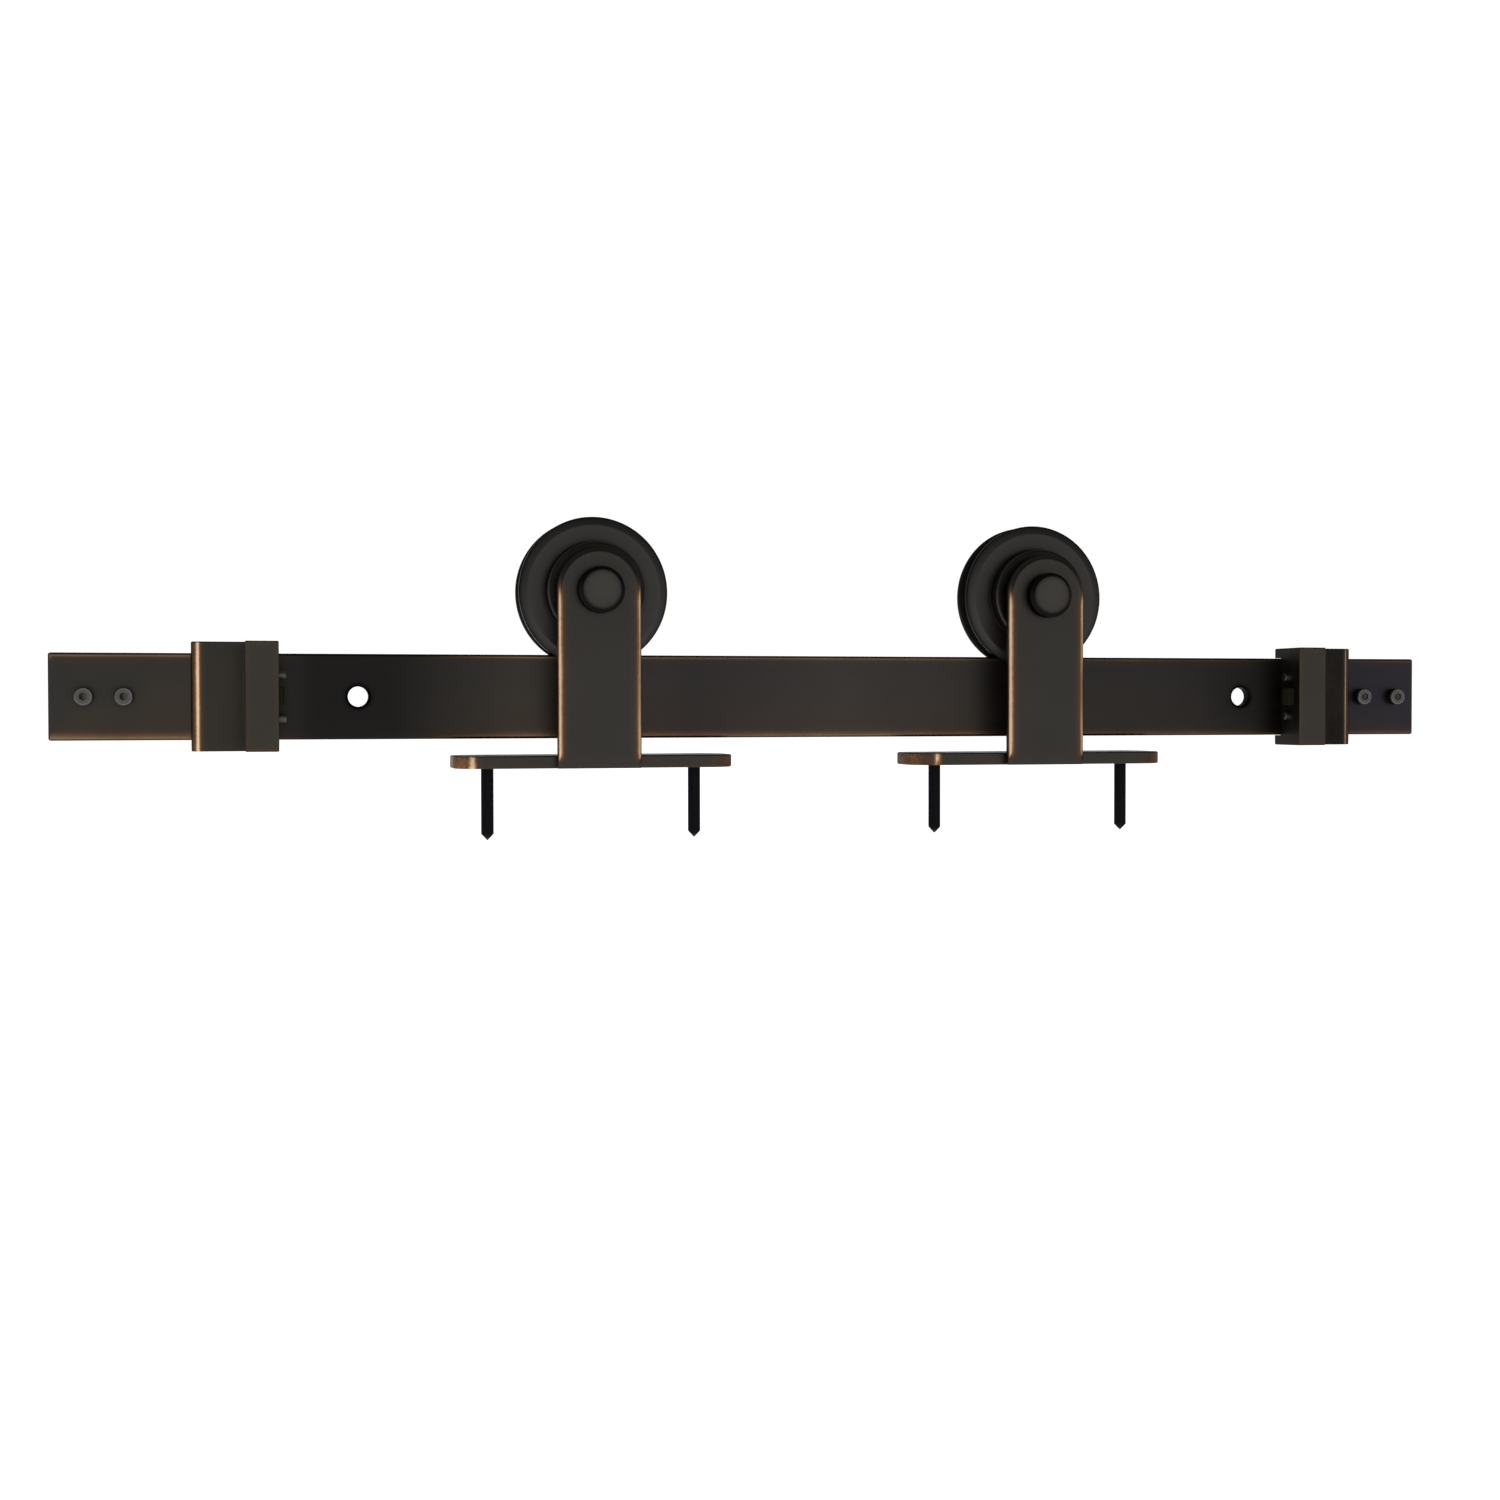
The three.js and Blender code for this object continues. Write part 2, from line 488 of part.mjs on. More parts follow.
// The stop runs outward from its inner face at x = 0, towards outward = -1 or 1.
function addStop(side, innerFace, outward) {
  const stop = new THREE.Group();
  stop.position.x = innerFace;
  hardware.add(stop);
  const wallFront = STOP_CHANNEL_FRONT - STOP_WALL;
  const plan = [
    [0, 0],
    [0, STOP_BLOCK_FRONT + STOP_BEVEL],
    [STOP_BEVEL, STOP_BLOCK_FRONT],
    [STOP_BLOCK_LENGTH - STOP_BEVEL, STOP_BLOCK_FRONT],
    [STOP_BLOCK_LENGTH, STOP_BLOCK_FRONT + STOP_BEVEL],
    [STOP_BLOCK_LENGTH, wallFront],
    [STOP_LENGTH - STOP_OUTER_BEVEL, wallFront],
    [STOP_LENGTH, wallFront + STOP_OUTER_BEVEL],
    [STOP_LENGTH, 0],
  ];
  const shape = new THREE.Shape(plan.map(([x, y]) => new THREE.Vector2(outward * x, y)));
  const blank = bevelledSlab(shape, 2 * STOP_HALF_HEIGHT, STOP_BEVEL).translate(0, 0, -STOP_HALF_HEIGHT);
  const reach = STOP_LENGTH + 1;
  const channel = box(-reach, reach, STOP_CHANNEL_FRONT, 1, -STOP_CHANNEL, STOP_CHANNEL);
  const pocketHalf = BUFFER_WIDTH / 2 + BUFFER_GAP;
  const pocketTop = BUFFER_HEIGHT / 2 + BUFFER_GAP;
  const pocketDepth = BUFFER_POCKET + BUFFER_GAP;
  const pocket = box(-pocketDepth, pocketDepth, BUFFER_Y - pocketHalf, BUFFER_Y + pocketHalf,
    -pocketTop, pocketTop);
  const cutters = [channel, pocket];

  const toInside = outward === 1 ? 0 : Math.PI;
  const screwHole = BUFFER_SCREW_LENGTH - BUFFER_SCREW_STICKOUT + BUFFER_GAP;
  for (const end of [-1, 1]) {
    const hole = rod(BUFFER_SCREW_RADIUS + THREAD_GAP, -screwHole, screwHole).rotateZ(Math.PI / 2);
    cutters.push(hole.translate(0, BUFFER_Y, end * BUFFER_SCREW_SPACING / 2));
  }
  const setScrewMiddle = (STOP_BLOCK_LENGTH + STOP_LENGTH) / 2;
  const setScrewX = [-1, 1].map((end) => outward * (setScrewMiddle + end * SET_SCREW_SPACING / 2));
  for (const x of setScrewX) {
    const hole = rod(SET_SCREW_RADIUS + THREAD_GAP, -STOP_HALF_HEIGHT - 1, -RAIL_TOP).rotateX(Math.PI / 2);
    cutters.push(hole.translate(x, RAIL_MIDDLE, 0));
  }
  add(stop, `${side}_stop_body`, cut(blank, cutters), bronze);

  const bufferMiddle = outward * (BUFFER_POCKET - BUFFER_STICKOUT) / 2;
  const bufferHalf = (BUFFER_POCKET + BUFFER_STICKOUT) / 2;
  const buffer = box(-bufferHalf, bufferHalf, -BUFFER_WIDTH / 2, BUFFER_WIDTH / 2,
    -BUFFER_HEIGHT / 2, BUFFER_HEIGHT / 2);
  add(stop, `${side}_stop_buffer`, buffer, rubber, [bufferMiddle, BUFFER_Y, 0]);

  for (const [place, end] of [['lower', -1], ['upper', 1]]) {
    const screw = socketSetScrew(BUFFER_SCREW_RADIUS, BUFFER_SCREW_LENGTH).rotateZ(toInside);
    const position = [-outward * BUFFER_SCREW_STICKOUT, BUFFER_Y, end * BUFFER_SCREW_SPACING / 2];
    add(stop, `${side}_stop_face_screw_${place}`, screw, greySteel, position);
  }
  for (const [i, x] of setScrewX.entries()) {
    const length = STOP_LIP - 2 * SET_SCREW_GAP;
    const screw = socketSetScrew(SET_SCREW_RADIUS, length).rotateY(-Math.PI / 2);
    const position = [x, RAIL_MIDDLE, -RAIL_TOP - SET_SCREW_GAP - length];
    add(stop, `${side}_stop_set_screw_${i + 1}`, screw, blackSteel, position);
  }
}

addStop('left', -RAIL_LENGTH / 2 + LEFT_STOP_INSET, -1);
addStop('right', RAIL_LENGTH / 2 - RIGHT_STOP_INSET, 1);

export default hardware;
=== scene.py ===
"""Looks for the sliding barn door hardware: a flat rail, two T-plate hangers on grooved
wheels and two stops, in oil-rubbed bronze that is worn to copper along its edges.
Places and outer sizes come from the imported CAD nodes. Metres, +Z up, the front faces -Y."""
import json
import math

import bmesh
import bpy
from mathutils import Matrix, Vector

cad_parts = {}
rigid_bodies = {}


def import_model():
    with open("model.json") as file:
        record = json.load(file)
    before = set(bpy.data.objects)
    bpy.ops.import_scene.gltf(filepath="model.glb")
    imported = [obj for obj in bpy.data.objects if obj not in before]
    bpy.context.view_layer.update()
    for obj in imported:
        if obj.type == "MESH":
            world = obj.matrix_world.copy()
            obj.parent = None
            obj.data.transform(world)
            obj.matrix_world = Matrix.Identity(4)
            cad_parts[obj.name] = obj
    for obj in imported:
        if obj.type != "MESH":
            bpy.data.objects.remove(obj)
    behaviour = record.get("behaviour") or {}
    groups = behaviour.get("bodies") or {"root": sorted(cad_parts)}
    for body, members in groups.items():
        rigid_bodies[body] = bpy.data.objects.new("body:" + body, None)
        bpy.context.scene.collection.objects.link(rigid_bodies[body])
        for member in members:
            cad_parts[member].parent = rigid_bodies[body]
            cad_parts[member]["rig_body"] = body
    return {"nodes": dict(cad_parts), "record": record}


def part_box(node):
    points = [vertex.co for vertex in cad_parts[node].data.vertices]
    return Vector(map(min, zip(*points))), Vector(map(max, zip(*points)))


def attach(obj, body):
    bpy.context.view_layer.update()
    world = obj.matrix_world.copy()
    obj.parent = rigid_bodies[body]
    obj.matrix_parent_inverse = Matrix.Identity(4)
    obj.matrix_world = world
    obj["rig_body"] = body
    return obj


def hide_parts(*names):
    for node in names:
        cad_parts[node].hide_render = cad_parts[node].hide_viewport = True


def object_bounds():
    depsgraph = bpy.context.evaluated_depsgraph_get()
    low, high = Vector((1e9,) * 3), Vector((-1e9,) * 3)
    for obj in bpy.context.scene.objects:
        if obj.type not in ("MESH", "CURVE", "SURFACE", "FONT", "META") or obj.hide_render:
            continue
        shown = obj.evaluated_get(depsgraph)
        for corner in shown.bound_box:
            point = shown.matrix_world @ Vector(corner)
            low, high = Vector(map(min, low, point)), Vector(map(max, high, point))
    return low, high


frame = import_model()
cad_box = [list(corner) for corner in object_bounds()]

MM = 0.001
CUTTER_SPARE = 1 * MM  # how far a cutter sticks out of what it cuts
SHARP_ANGLE = math.radians(40)
WELD = 1e-6  # points closer than this become one
LEAST_EDGE = 1e-7

# How the wear and the painted shade fade out from an edge over the flat beside it
FADE_LENGTH = 0.9 * MM
FADE_STEPS = [0.5 * MM, 1.2 * MM, 2.4 * MM, 4.5 * MM]
FADE_LIMIT = 0.45  # the share of a stretch that the steps from one end may take
CORNER_STEPS = 3
HOLE_STEPS = 64
HEXAGON_CORNER = 0.2 * MM


# ---- Sizes read from the frame ----

def middle(node):
    low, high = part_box(node)
    return (low + high) / 2


rail_low, rail_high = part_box("rail")
RAIL_FRONT, RAIL_BACK = rail_low.y, rail_high.y
RAIL_MIDDLE = (RAIL_FRONT + RAIL_BACK) / 2
RAIL_TOP = rail_high.z


# ---- Outlines and profiles ----

def turn_between(a, b):
    """The signed angle from direction a to direction b."""
    return math.atan2(a.x * b.y - a.y * b.x, a.dot(b))


def neighbours(corners, i):
    here = Vector(corners[i][:2])
    before = Vector(corners[i - 1][:2])
    after = Vector(corners[(i + 1) % len(corners)][:2])
    return here, (here - before).normalized(), (after - here).normalized()


def rounding(corners, i, radius, steps):
    """The points of corner i's rounding."""
    here, a, b = neighbours(corners, i)
    turn = turn_between(a, b)
    start = here - a * radius * math.tan(abs(turn) / 2)
    side = 1 if turn > 0 else -1
    centre = start + Vector((-a.y, a.x)) * radius * side
    swings = [Matrix.Rotation(turn * k / max(steps, 1), 2) for k in range(steps + 1)]
    return [centre + swing @ (start - centre) for swing in swings]


def corner_arcs(corners):
    """For each (u, v, radius, steps) corner of a closed outline, its rounding's points."""
    return [rounding(corners, i, radius, steps) for i, (_, _, radius, steps) in enumerate(corners)]


def open_corners(corners, radius):
    """The inner corners of an open line, each rounded to the radius."""
    points = []
    for i in range(1, len(corners) - 1):
        points += rounding(corners, i, radius, CORNER_STEPS)
    return points


def outline(corners, beside=()):
    """A function that gives the outline moved inward by an inset. Corners run
    anticlockwise, and a rounded corner keeps its centre as it moves. beside lists how far
    from each corner extra points sit on the straight sides, so wear and painted shade can fade
    there."""
    def straights(arcs):
        return zip(arcs, arcs[1:] + arcs[:1])

    shares = []
    for arc, following in straights(corner_arcs(corners)):
        length = (following[0] - arc[-1]).length
        near = [d / length for d in beside if d < FADE_LIMIT * length]
        shares.append(near + [1 - share for share in reversed(near)])

    def at(inset):
        moved = []
        for i, (_, _, radius, steps) in enumerate(corners):
            here, a, b = neighbours(corners, i)
            normals = Vector((a.y, -a.x)), Vector((b.y, -b.x))
            miter = (normals[0] + normals[1]) / (1 + normals[0].dot(normals[1]))
            here = here - miter * inset
            grown = radius - inset if turn_between(a, b) > 0 else radius + inset
            moved.append((here.x, here.y, max(grown, 0), steps))
        points = []
        for (arc, following), along in zip(straights(corner_arcs(moved)), shares):
            points += arc + [arc[-1].lerp(following[0], share) for share in along]
        return points
    return at


def round_hole(u, v, radius):
    def at(inset):
        wide = radius + inset
        angles = [-2 * math.pi * k / HOLE_STEPS for k in range(HOLE_STEPS)]
        return [Vector((u + wide * math.cos(a), v + wide * math.sin(a))) for a in angles]
    return at


def rectangle(u0, u1, v0, v1, radius, steps=CORNER_STEPS):
    return [(u0, v0, radius, steps), (u1, v0, radius, steps),
            (u1, v1, radius, steps), (u0, v1, radius, steps)]


def hexagon(radius):
    angles = [math.pi / 3 * k + math.pi / 6 for k in range(6)]
    return [(radius * math.cos(a), radius * math.sin(a), HEXAGON_CORNER, 1) for a in angles]


def fade(wear_and_shade, distance):
    return wear_and_shade * math.exp(-distance / FADE_LENGTH)


def edge(thickness, front, back, soft, wear_and_shade, back_share, side=0.0, reach=len(FADE_STEPS)):
    """The way round a plate's edge as (inset, depth, rub), from the front face over the
    front bevel and the side to the back face. front and back are the bevels' widths, and
    soft rounds their corners. rub is the wear where the front bevel meets the face, along
    its middle, and where it meets the side, and painted shade where it is below 0; back_share of
    it is on the back bevel.
    side is the same halfway down the side, painted shade on the side face where below 0, and reach
    is how many fade steps fit on a face."""
    def over(bevel, share):
        by_face, crest, by_side = (share * r for r in wear_and_shade)
        if bevel == 0:
            by_face = by_side = crest
        face = [(bevel + d, 0.0, fade(by_face, d)) for d in reversed(FADE_STEPS[:reach])]
        down = [(0.0, bevel + d, side + fade(by_side - side, d))
                for d in FADE_STEPS if bevel + d < FADE_LIMIT * thickness]
        if bevel == 0:
            corner = open_corners([(1.0, 0.0), (0.0, 0.0), (0.0, 1.0)], soft)
            return face + [(p.x, p.y, crest) for p in corner] + down
        turns = open_corners([(bevel + 1, 0.0), (bevel, 0.0), (0.0, bevel), (0.0, bevel + 1)],
                             soft)
        half = len(turns) // 2
        return (face + [(p.x, p.y, by_face) for p in turns[:half]]
                + [(bevel / 2, bevel / 2, crest)]
                + [(p.x, p.y, by_side) for p in turns[half:]] + down)
    back_half = [(inset, thickness - depth, r)
                 for inset, depth, r in reversed(over(back, back_share))]
    return over(front, 1.0) + [(0.0, thickness / 2, side)] + back_half


# ---- Meshes ----

def finished(name, bm, origin):
    """A smooth object from the mesh, with its own origin, and sharp only at real corners."""
    bmesh.ops.remove_doubles(bm, verts=bm.verts, dist=WELD)
    bmesh.ops.dissolve_degenerate(bm, edges=bm.edges, dist=LEAST_EDGE)
    bmesh.ops.recalc_face_normals(bm, faces=bm.faces)
    if bm.calc_volume(signed=True) < 0:
        bmesh.ops.reverse_faces(bm, faces=bm.faces)
    bmesh.ops.translate(bm, verts=bm.verts, vec=-origin)
    mesh = bpy.data.meshes.new(name)
    bm.to_mesh(mesh)
    bm.free()
    for polygon in mesh.polygons:
        polygon.use_smooth = True
    mesh.set_sharp_from_angle(angle=SHARP_ANGLE)
    piece = bpy.data.objects.new(name, mesh)
    bpy.context.scene.collection.objects.link(piece)
    piece.location = origin
    return piece


def slab(name, rims, place):
    """A plate with holes. Each rim is (outline, edge, wear): the plate's own or a hole's.
    place turns (u, v, depth) into a point, and wear(u, v, rub) gives the value there: wear above
    0, painted shade below it."""
    bm = bmesh.new()
    wear_and_shade_layer = bm.verts.layers.float.new("wear_and_shade")
    cap_layer = bm.verts.layers.int.new("cap")
    for outline_at, way_round, wear in rims:
        rings = []
        for inset, depth, wear_and_shade in way_round:
            ring = []
            for u, v in outline_at(inset):
                vertex = bm.verts.new(place(u, v, depth))
                vertex[wear_and_shade_layer] = wear(u, v, wear_and_shade)
                ring.append(vertex)
            rings.append(ring)
        for ring, following in zip(rings, rings[1:]):
            for k in range(len(ring)):
                bm.faces.new((ring[k - 1], ring[k], following[k], following[k - 1]))
        for ring, cap in ((rings[0], 1), (rings[-1], 2)):
            for vertex in ring:
                vertex[cap_layer] = cap
    bmesh.ops.remove_doubles(bm, verts=bm.verts, dist=WELD)
    for cap in (1, 2):
        rim_edges = [e for e in bm.edges
                     if e.is_boundary and all(v[cap_layer] == cap for v in e.verts)]
        bmesh.ops.triangle_fill(bm, use_beauty=True, use_dissolve=False, edges=rim_edges)
    bm.verts.layers.int.remove(bm.verts.layers.int["cap"])
    return finished(name, bm, Vector())


def as_given(u, v, wear_and_shade):
    return wear_and_shade


def profile_points(corners, closed):
    """A turned profile's (radius, along, rub), with each (radius, along, soft, rub)
    corner rounded and its wear and painted shade fading along the straight stretches beside
    it. A stretch between two corners in painted shade stays shaded."""
    points = []
    count = len(corners)
    for i, (radius, along, soft, wear_and_shade) in enumerate(corners):
        here = Vector((radius, along))
        ends_here = not closed and i in (0, count - 1)
        if ends_here or soft == 0:
            arc = [here]
        else:
            arc = open_corners([corners[i - 1][:2], here, corners[(i + 1) % count][:2]], soft)
        points.append([(p.x, p.y, wear_and_shade) for p in arc])
    way = []
    for i, arc in enumerate(points):
        way += arc
        if not closed and i == count - 1:
            break
        start, end = arc[-1], points[(i + 1) % count][0]
        run = Vector(end[:2]) - Vector(start[:2])
        beside = [d for d in FADE_STEPS if d < run.length * FADE_LIMIT]
        between = max(start[2], end[2]) if max(start[2], end[2]) < 0 else 0
        for distance in beside:
            p = Vector(start[:2]) + run.normalized() * distance
            way.append((p.x, p.y, between + fade(start[2] - between, distance)))
        for distance in reversed(beside):
            p = Vector(end[:2]) - run.normalized() * distance
            way.append((p.x, p.y, between + fade(end[2] - between, distance)))
    return way


def revolved(name, way_at, place, origin, closed, steps):
    """A mesh about an axis. way_at gives the profile's (radius, along, rub) points at an
    angle, and place turns (p, q, along) into a point."""
    bm = bmesh.new()
    wear_and_shade_layer = bm.verts.layers.float.new("wear_and_shade")
    columns = []
    for k in range(steps):
        angle = 2 * math.pi * k / steps
        column = []
        for radius, along, wear_and_shade in way_at(angle):
            point = place(radius * math.cos(angle), radius * math.sin(angle), along)
            vertex = bm.verts.new(point)
            vertex[wear_and_shade_layer] = wear_and_shade
            column.append(vertex)
        columns.append(column)
    for k in range(steps):
        one, other = columns[k - 1], columns[k]
        for i in range(len(one) if closed else len(one) - 1):
            j = (i + 1) % len(one)
            bm.faces.new((one[i], other[i], other[j], one[j]))
    return finished(name, bm, origin)


def turned(name, corners, place, origin, closed=False, steps=96):
    """Turns one profile about an axis."""
    way = profile_points(corners, closed)
    return revolved(name, lambda angle: way, place, origin, closed, steps)


def ring_section(inner, outer, start, end, soft):
    """The corners of a plain ring's section."""
    return [(inner, start, soft, 0), (outer, start, soft, 0),
            (outer, end, soft, 0), (inner, end, soft, 0)]


def about_y(centre):
    return lambda p, q, along: (centre.x + p, along, centre.z + q)


def about_z(centre):
    return lambda p, q, along: (centre.x + p, centre.y + q, along)


def about_x(centre):
    return lambda p, q, along: (along, centre.y + p, centre.z + q)


def on_axis(centre, y=0):
    return Vector((centre.x, y, centre.z))


def facing_front(front):
    return lambda u, v, depth: (u, front + depth, v)


def facing_left(left):
    return lambda u, v, depth: (left + depth, u, v)


def facing_up(top):
    return lambda u, v, depth: (u, v, top - depth)


def cut(piece, *cutters):
    """Cuts the cutters out of the piece for good, one after the other."""
    for cutter in cutters:
        modifier = piece.modifiers.new("cut", "BOOLEAN")
        modifier.operation = "DIFFERENCE"
        modifier.solver = "EXACT"
        modifier.object = cutter
        bpy.context.view_layer.update()
        shape = piece.evaluated_get(bpy.context.evaluated_depsgraph_get())
        mesh = bpy.data.meshes.new_from_object(shape)
        piece.modifiers.clear()
        piece.data = mesh
        bpy.data.objects.remove(cutter)
    piece.data.set_sharp_from_angle(angle=SHARP_ANGLE)
    return piece


# ---- Materials ----

CLOUD_SCALE, CLOUD_DETAIL = 45, 5
SPECKLE_SCALE, SPECKLE_DETAIL, SPECKLE_ROUGHNESS = 520, 3, 0.7
STREAK_DETAIL = 3
PATCH_SHARES = 0.6, 0.4  # of the cloud and the speckle, where wear breaks up
SHADE_SHARES = 0.65, 0.35  # of the cloud and the streaks, in the mottling
CORNER_SHADE = 0.12  # how dark the patina is painted at -1, the deepest painted shade
WORN_PLACES = 0.62, 0.74, 0.9  # where each worn colour is reached, with the patina at 0.5
STREAK_ROUGHNESS, CLOUD_ROUGHNESS = 0.1, 0.12
RUBBER_SPECULAR = 0.15
GRAIN_HEIGHT = 0.1 * MM


def link(tree, source, target):
    tree.links.new(source, target)


def math_node(tree, operation, a, b=None):
    node = tree.nodes.new("ShaderNodeMath")
    node.operation = operation
    for socket, value in zip(node.inputs, (a, b)):
        if value is None:
            continue
        if isinstance(value, (int, float)):
            socket.default_value = value
        else:
            link(tree, value, socket)
    return node.outputs[0]


def weighted(tree, a, b, shares):
    """The sum of a and b, each times its share."""
    return math_node(tree, "ADD", math_node(tree, "MULTIPLY", a, shares[0]),
                     math_node(tree, "MULTIPLY", b, shares[1]))


def noise_node(tree, vector, scale, detail, roughness=0.55):
    node = tree.nodes.new("ShaderNodeTexNoise")
    node.inputs["Scale"].default_value = scale
    node.inputs["Detail"].default_value = detail
    node.inputs["Roughness"].default_value = roughness
    link(tree, vector, node.inputs["Vector"])
    return node.outputs["Fac"]


def ramp_node(tree, factor, stops):
    node = tree.nodes.new("ShaderNodeValToRGB")
    ramp = node.color_ramp
    while len(ramp.elements) < len(stops):
        ramp.elements.new(0.5)
    for element, (position, colour) in zip(ramp.elements, stops):
        element.position = position
        element.color = (*colour, 1)
    link(tree, factor, node.inputs["Fac"])
    return node.outputs["Color"]


def ranged(tree, value, low, high):
    node = tree.nodes.new("ShaderNodeMapRange")
    node.inputs["To Min"].default_value = low
    node.inputs["To Max"].default_value = high
    link(tree, value, node.inputs["Value"])
    return node.outputs["Result"]


def stretched(tree, coordinates, stretch):
    node = tree.nodes.new("ShaderNodeMapping")
    node.inputs["Scale"].default_value = stretch
    link(tree, coordinates, node.inputs["Vector"])
    return node.outputs["Vector"]


def multiplied(tree, colour, by):
    node = tree.nodes.new("ShaderNodeMix")
    node.data_type = "RGBA"
    node.blend_type = "MULTIPLY"
    node.inputs["Factor"].default_value = 1
    link(tree, colour, node.inputs["A"])
    link(tree, by, node.inputs["B"])
    return node.outputs["Result"]


def ring_coordinates(tree, coordinates):
    """The distance from the axis that runs along Y, for rings left by turning."""
    parts = tree.nodes.new("ShaderNodeSeparateXYZ")
    link(tree, coordinates, parts.inputs[0])
    x, y, z = parts.outputs
    squared = math_node(tree, "ADD", math_node(tree, "MULTIPLY", x, x),
                        math_node(tree, "MULTIPLY", z, z))
    node = tree.nodes.new("ShaderNodeCombineXYZ")
    link(tree, math_node(tree, "SQRT", squared), node.inputs[0])
    link(tree, y, node.inputs[1])
    return node.outputs[0]


def toned_and_shaded(tree, coordinates, colour, tones_and_shade):
    """The colour, deeper or cooler from place to place along the rail: the patina's own tone, with
    painted shade and reflection in the deepest steps beside the stops.
    """
    across = tree.nodes.new("ShaderNodeSeparateXYZ")
    link(tree, coordinates, across.inputs[0])
    share = tree.nodes.new("ShaderNodeMapRange")
    share.inputs["From Min"].default_value = rail_low.x
    share.inputs["From Max"].default_value = rail_high.x
    link(tree, across.outputs["X"], share.inputs["Value"])
    stops = [(at, (tone, tone, tone * cool)) for at, tone, cool in tones_and_shade]
    return multiplied(tree, colour, ramp_node(tree, share.outputs[0], stops))


def finish(name, patina, worn=None, roughness=0.42, metallic=0.9, grain=(1, 1, 1),
           rings=False, grain_scale=900, mottle=0.12, bump=0.08, chips=0.5, tones_and_shade=None,
           glare=0.45):
    """A metal or rubber finish. The vertex attribute runs from -1, the deepest painted shade, over
    0, the plain finish, to 1, worn through; noise breaks up where the wear and the painted shade
    start, by as much as chips. grain stretches the streaks, and rings turns them round the Y axis.
    tones are (share of the rail's length, depth, coolness) steps of the patina's own tone and of
    painted shade and reflection."""
    material = bpy.data.materials.new(name)
    material.use_nodes = True
    tree = material.node_tree
    shader = tree.nodes["Principled BSDF"]
    coordinates = tree.nodes.new("ShaderNodeTexCoord").outputs["Object"]
    if rings:
        grain_vector = ring_coordinates(tree, coordinates)
    else:
        grain_vector = stretched(tree, coordinates, grain)
    streaks = noise_node(tree, grain_vector, grain_scale, STREAK_DETAIL)
    cloud = noise_node(tree, coordinates, CLOUD_SCALE, CLOUD_DETAIL)
    speckle = noise_node(tree, coordinates, SPECKLE_SCALE, SPECKLE_DETAIL, SPECKLE_ROUGHNESS)

    wear_and_shade = tree.nodes.new("ShaderNodeAttribute")
    wear_and_shade.attribute_name = "wear_and_shade"
    patches = weighted(tree, cloud, speckle, PATCH_SHARES)
    broken = math_node(tree, "MULTIPLY", math_node(tree, "SUBTRACT", patches, 0.5), chips)
    wear_and_shade_place = math_node(tree, "ADD", math_node(tree, "MULTIPLY", wear_and_shade.outputs["Fac"], 0.5), 0.5)
    strength = math_node(tree, "ABSOLUTE", wear_and_shade.outputs["Fac"])
    wear = math_node(tree, "ADD", wear_and_shade_place, math_node(tree, "MULTIPLY", broken, strength))
    dark = tuple(CORNER_SHADE * c for c in patina)
    colour = ramp_node(tree, wear, [(0.0, dark), (0.5, patina),
                                    *zip(WORN_PLACES, worn or [patina])])
    if tones_and_shade:
        colour = toned_and_shaded(tree, coordinates, colour, tones_and_shade)

    clouds = weighted(tree, cloud, streaks, SHADE_SHARES)
    shade = ranged(tree, clouds, 1 - mottle * 2, 1 + mottle * 2)
    grey = tree.nodes.new("ShaderNodeCombineColor")
    for channel in grey.inputs:
        link(tree, shade, channel)
    link(tree, multiplied(tree, colour, grey.outputs[0]), shader.inputs["Base Color"])

    shader.inputs["Metallic"].default_value = metallic
    shader.inputs["Specular Tint"].default_value = (glare, glare, glare, 1)
    if metallic == 0:
        shader.inputs["Specular IOR Level"].default_value = RUBBER_SPECULAR
    by_streaks = ranged(tree, streaks, roughness - STREAK_ROUGHNESS, roughness + STREAK_ROUGHNESS)
    by_cloud = math_node(tree, "MULTIPLY", math_node(tree, "SUBTRACT", cloud, 0.5),
                         CLOUD_ROUGHNESS)
    link(tree, math_node(tree, "ADD", by_streaks, by_cloud), shader.inputs["Roughness"])
    bump_node = tree.nodes.new("ShaderNodeBump")
    bump_node.inputs["Strength"].default_value = bump
    bump_node.inputs["Distance"].default_value = GRAIN_HEIGHT
    link(tree, streaks, bump_node.inputs["Height"])
    link(tree, bump_node.outputs["Normal"], shader.inputs["Normal"])
    return material


# The colours that wear passes through, from slight to right through
COPPER = [(0.055, 0.030, 0.018), (0.17, 0.080, 0.034), (0.50, 0.36, 0.23)]
BROWN = [(0.040, 0.028, 0.019), (0.085, 0.052, 0.030), (0.15, 0.105, 0.068)]
GREY = [(0.05, 0.048, 0.046), (0.10, 0.096, 0.092), (0.24, 0.23, 0.22)]
# (share of the rail's length, depth of the patina's tone and of painted shade and reflection, how
# much cooler it is); the deepest steps, between the left stop and the mounting hole and beside the
# right stop, are painted shade and reflection
RAIL_TONES_AND_SHADE = [(0.0, 0.78, 0.95), (0.13, 0.76, 0.95), (0.17, 0.27, 1.05), (0.22, 0.27, 1.05),
              (0.33, 0.92, 0.95), (0.43, 0.60, 1.1), (0.54, 0.84, 1.05), (0.66, 0.66, 1.0),
              (0.80, 0.52, 1.08), (0.88, 0.25, 0.95), (0.93, 0.50, 1.4), (1.0, 0.60, 1.4)]

ALONG_X, ALONG_Z = (0.02, 1, 1), (1, 1, 0.02)  # which way the grain runs

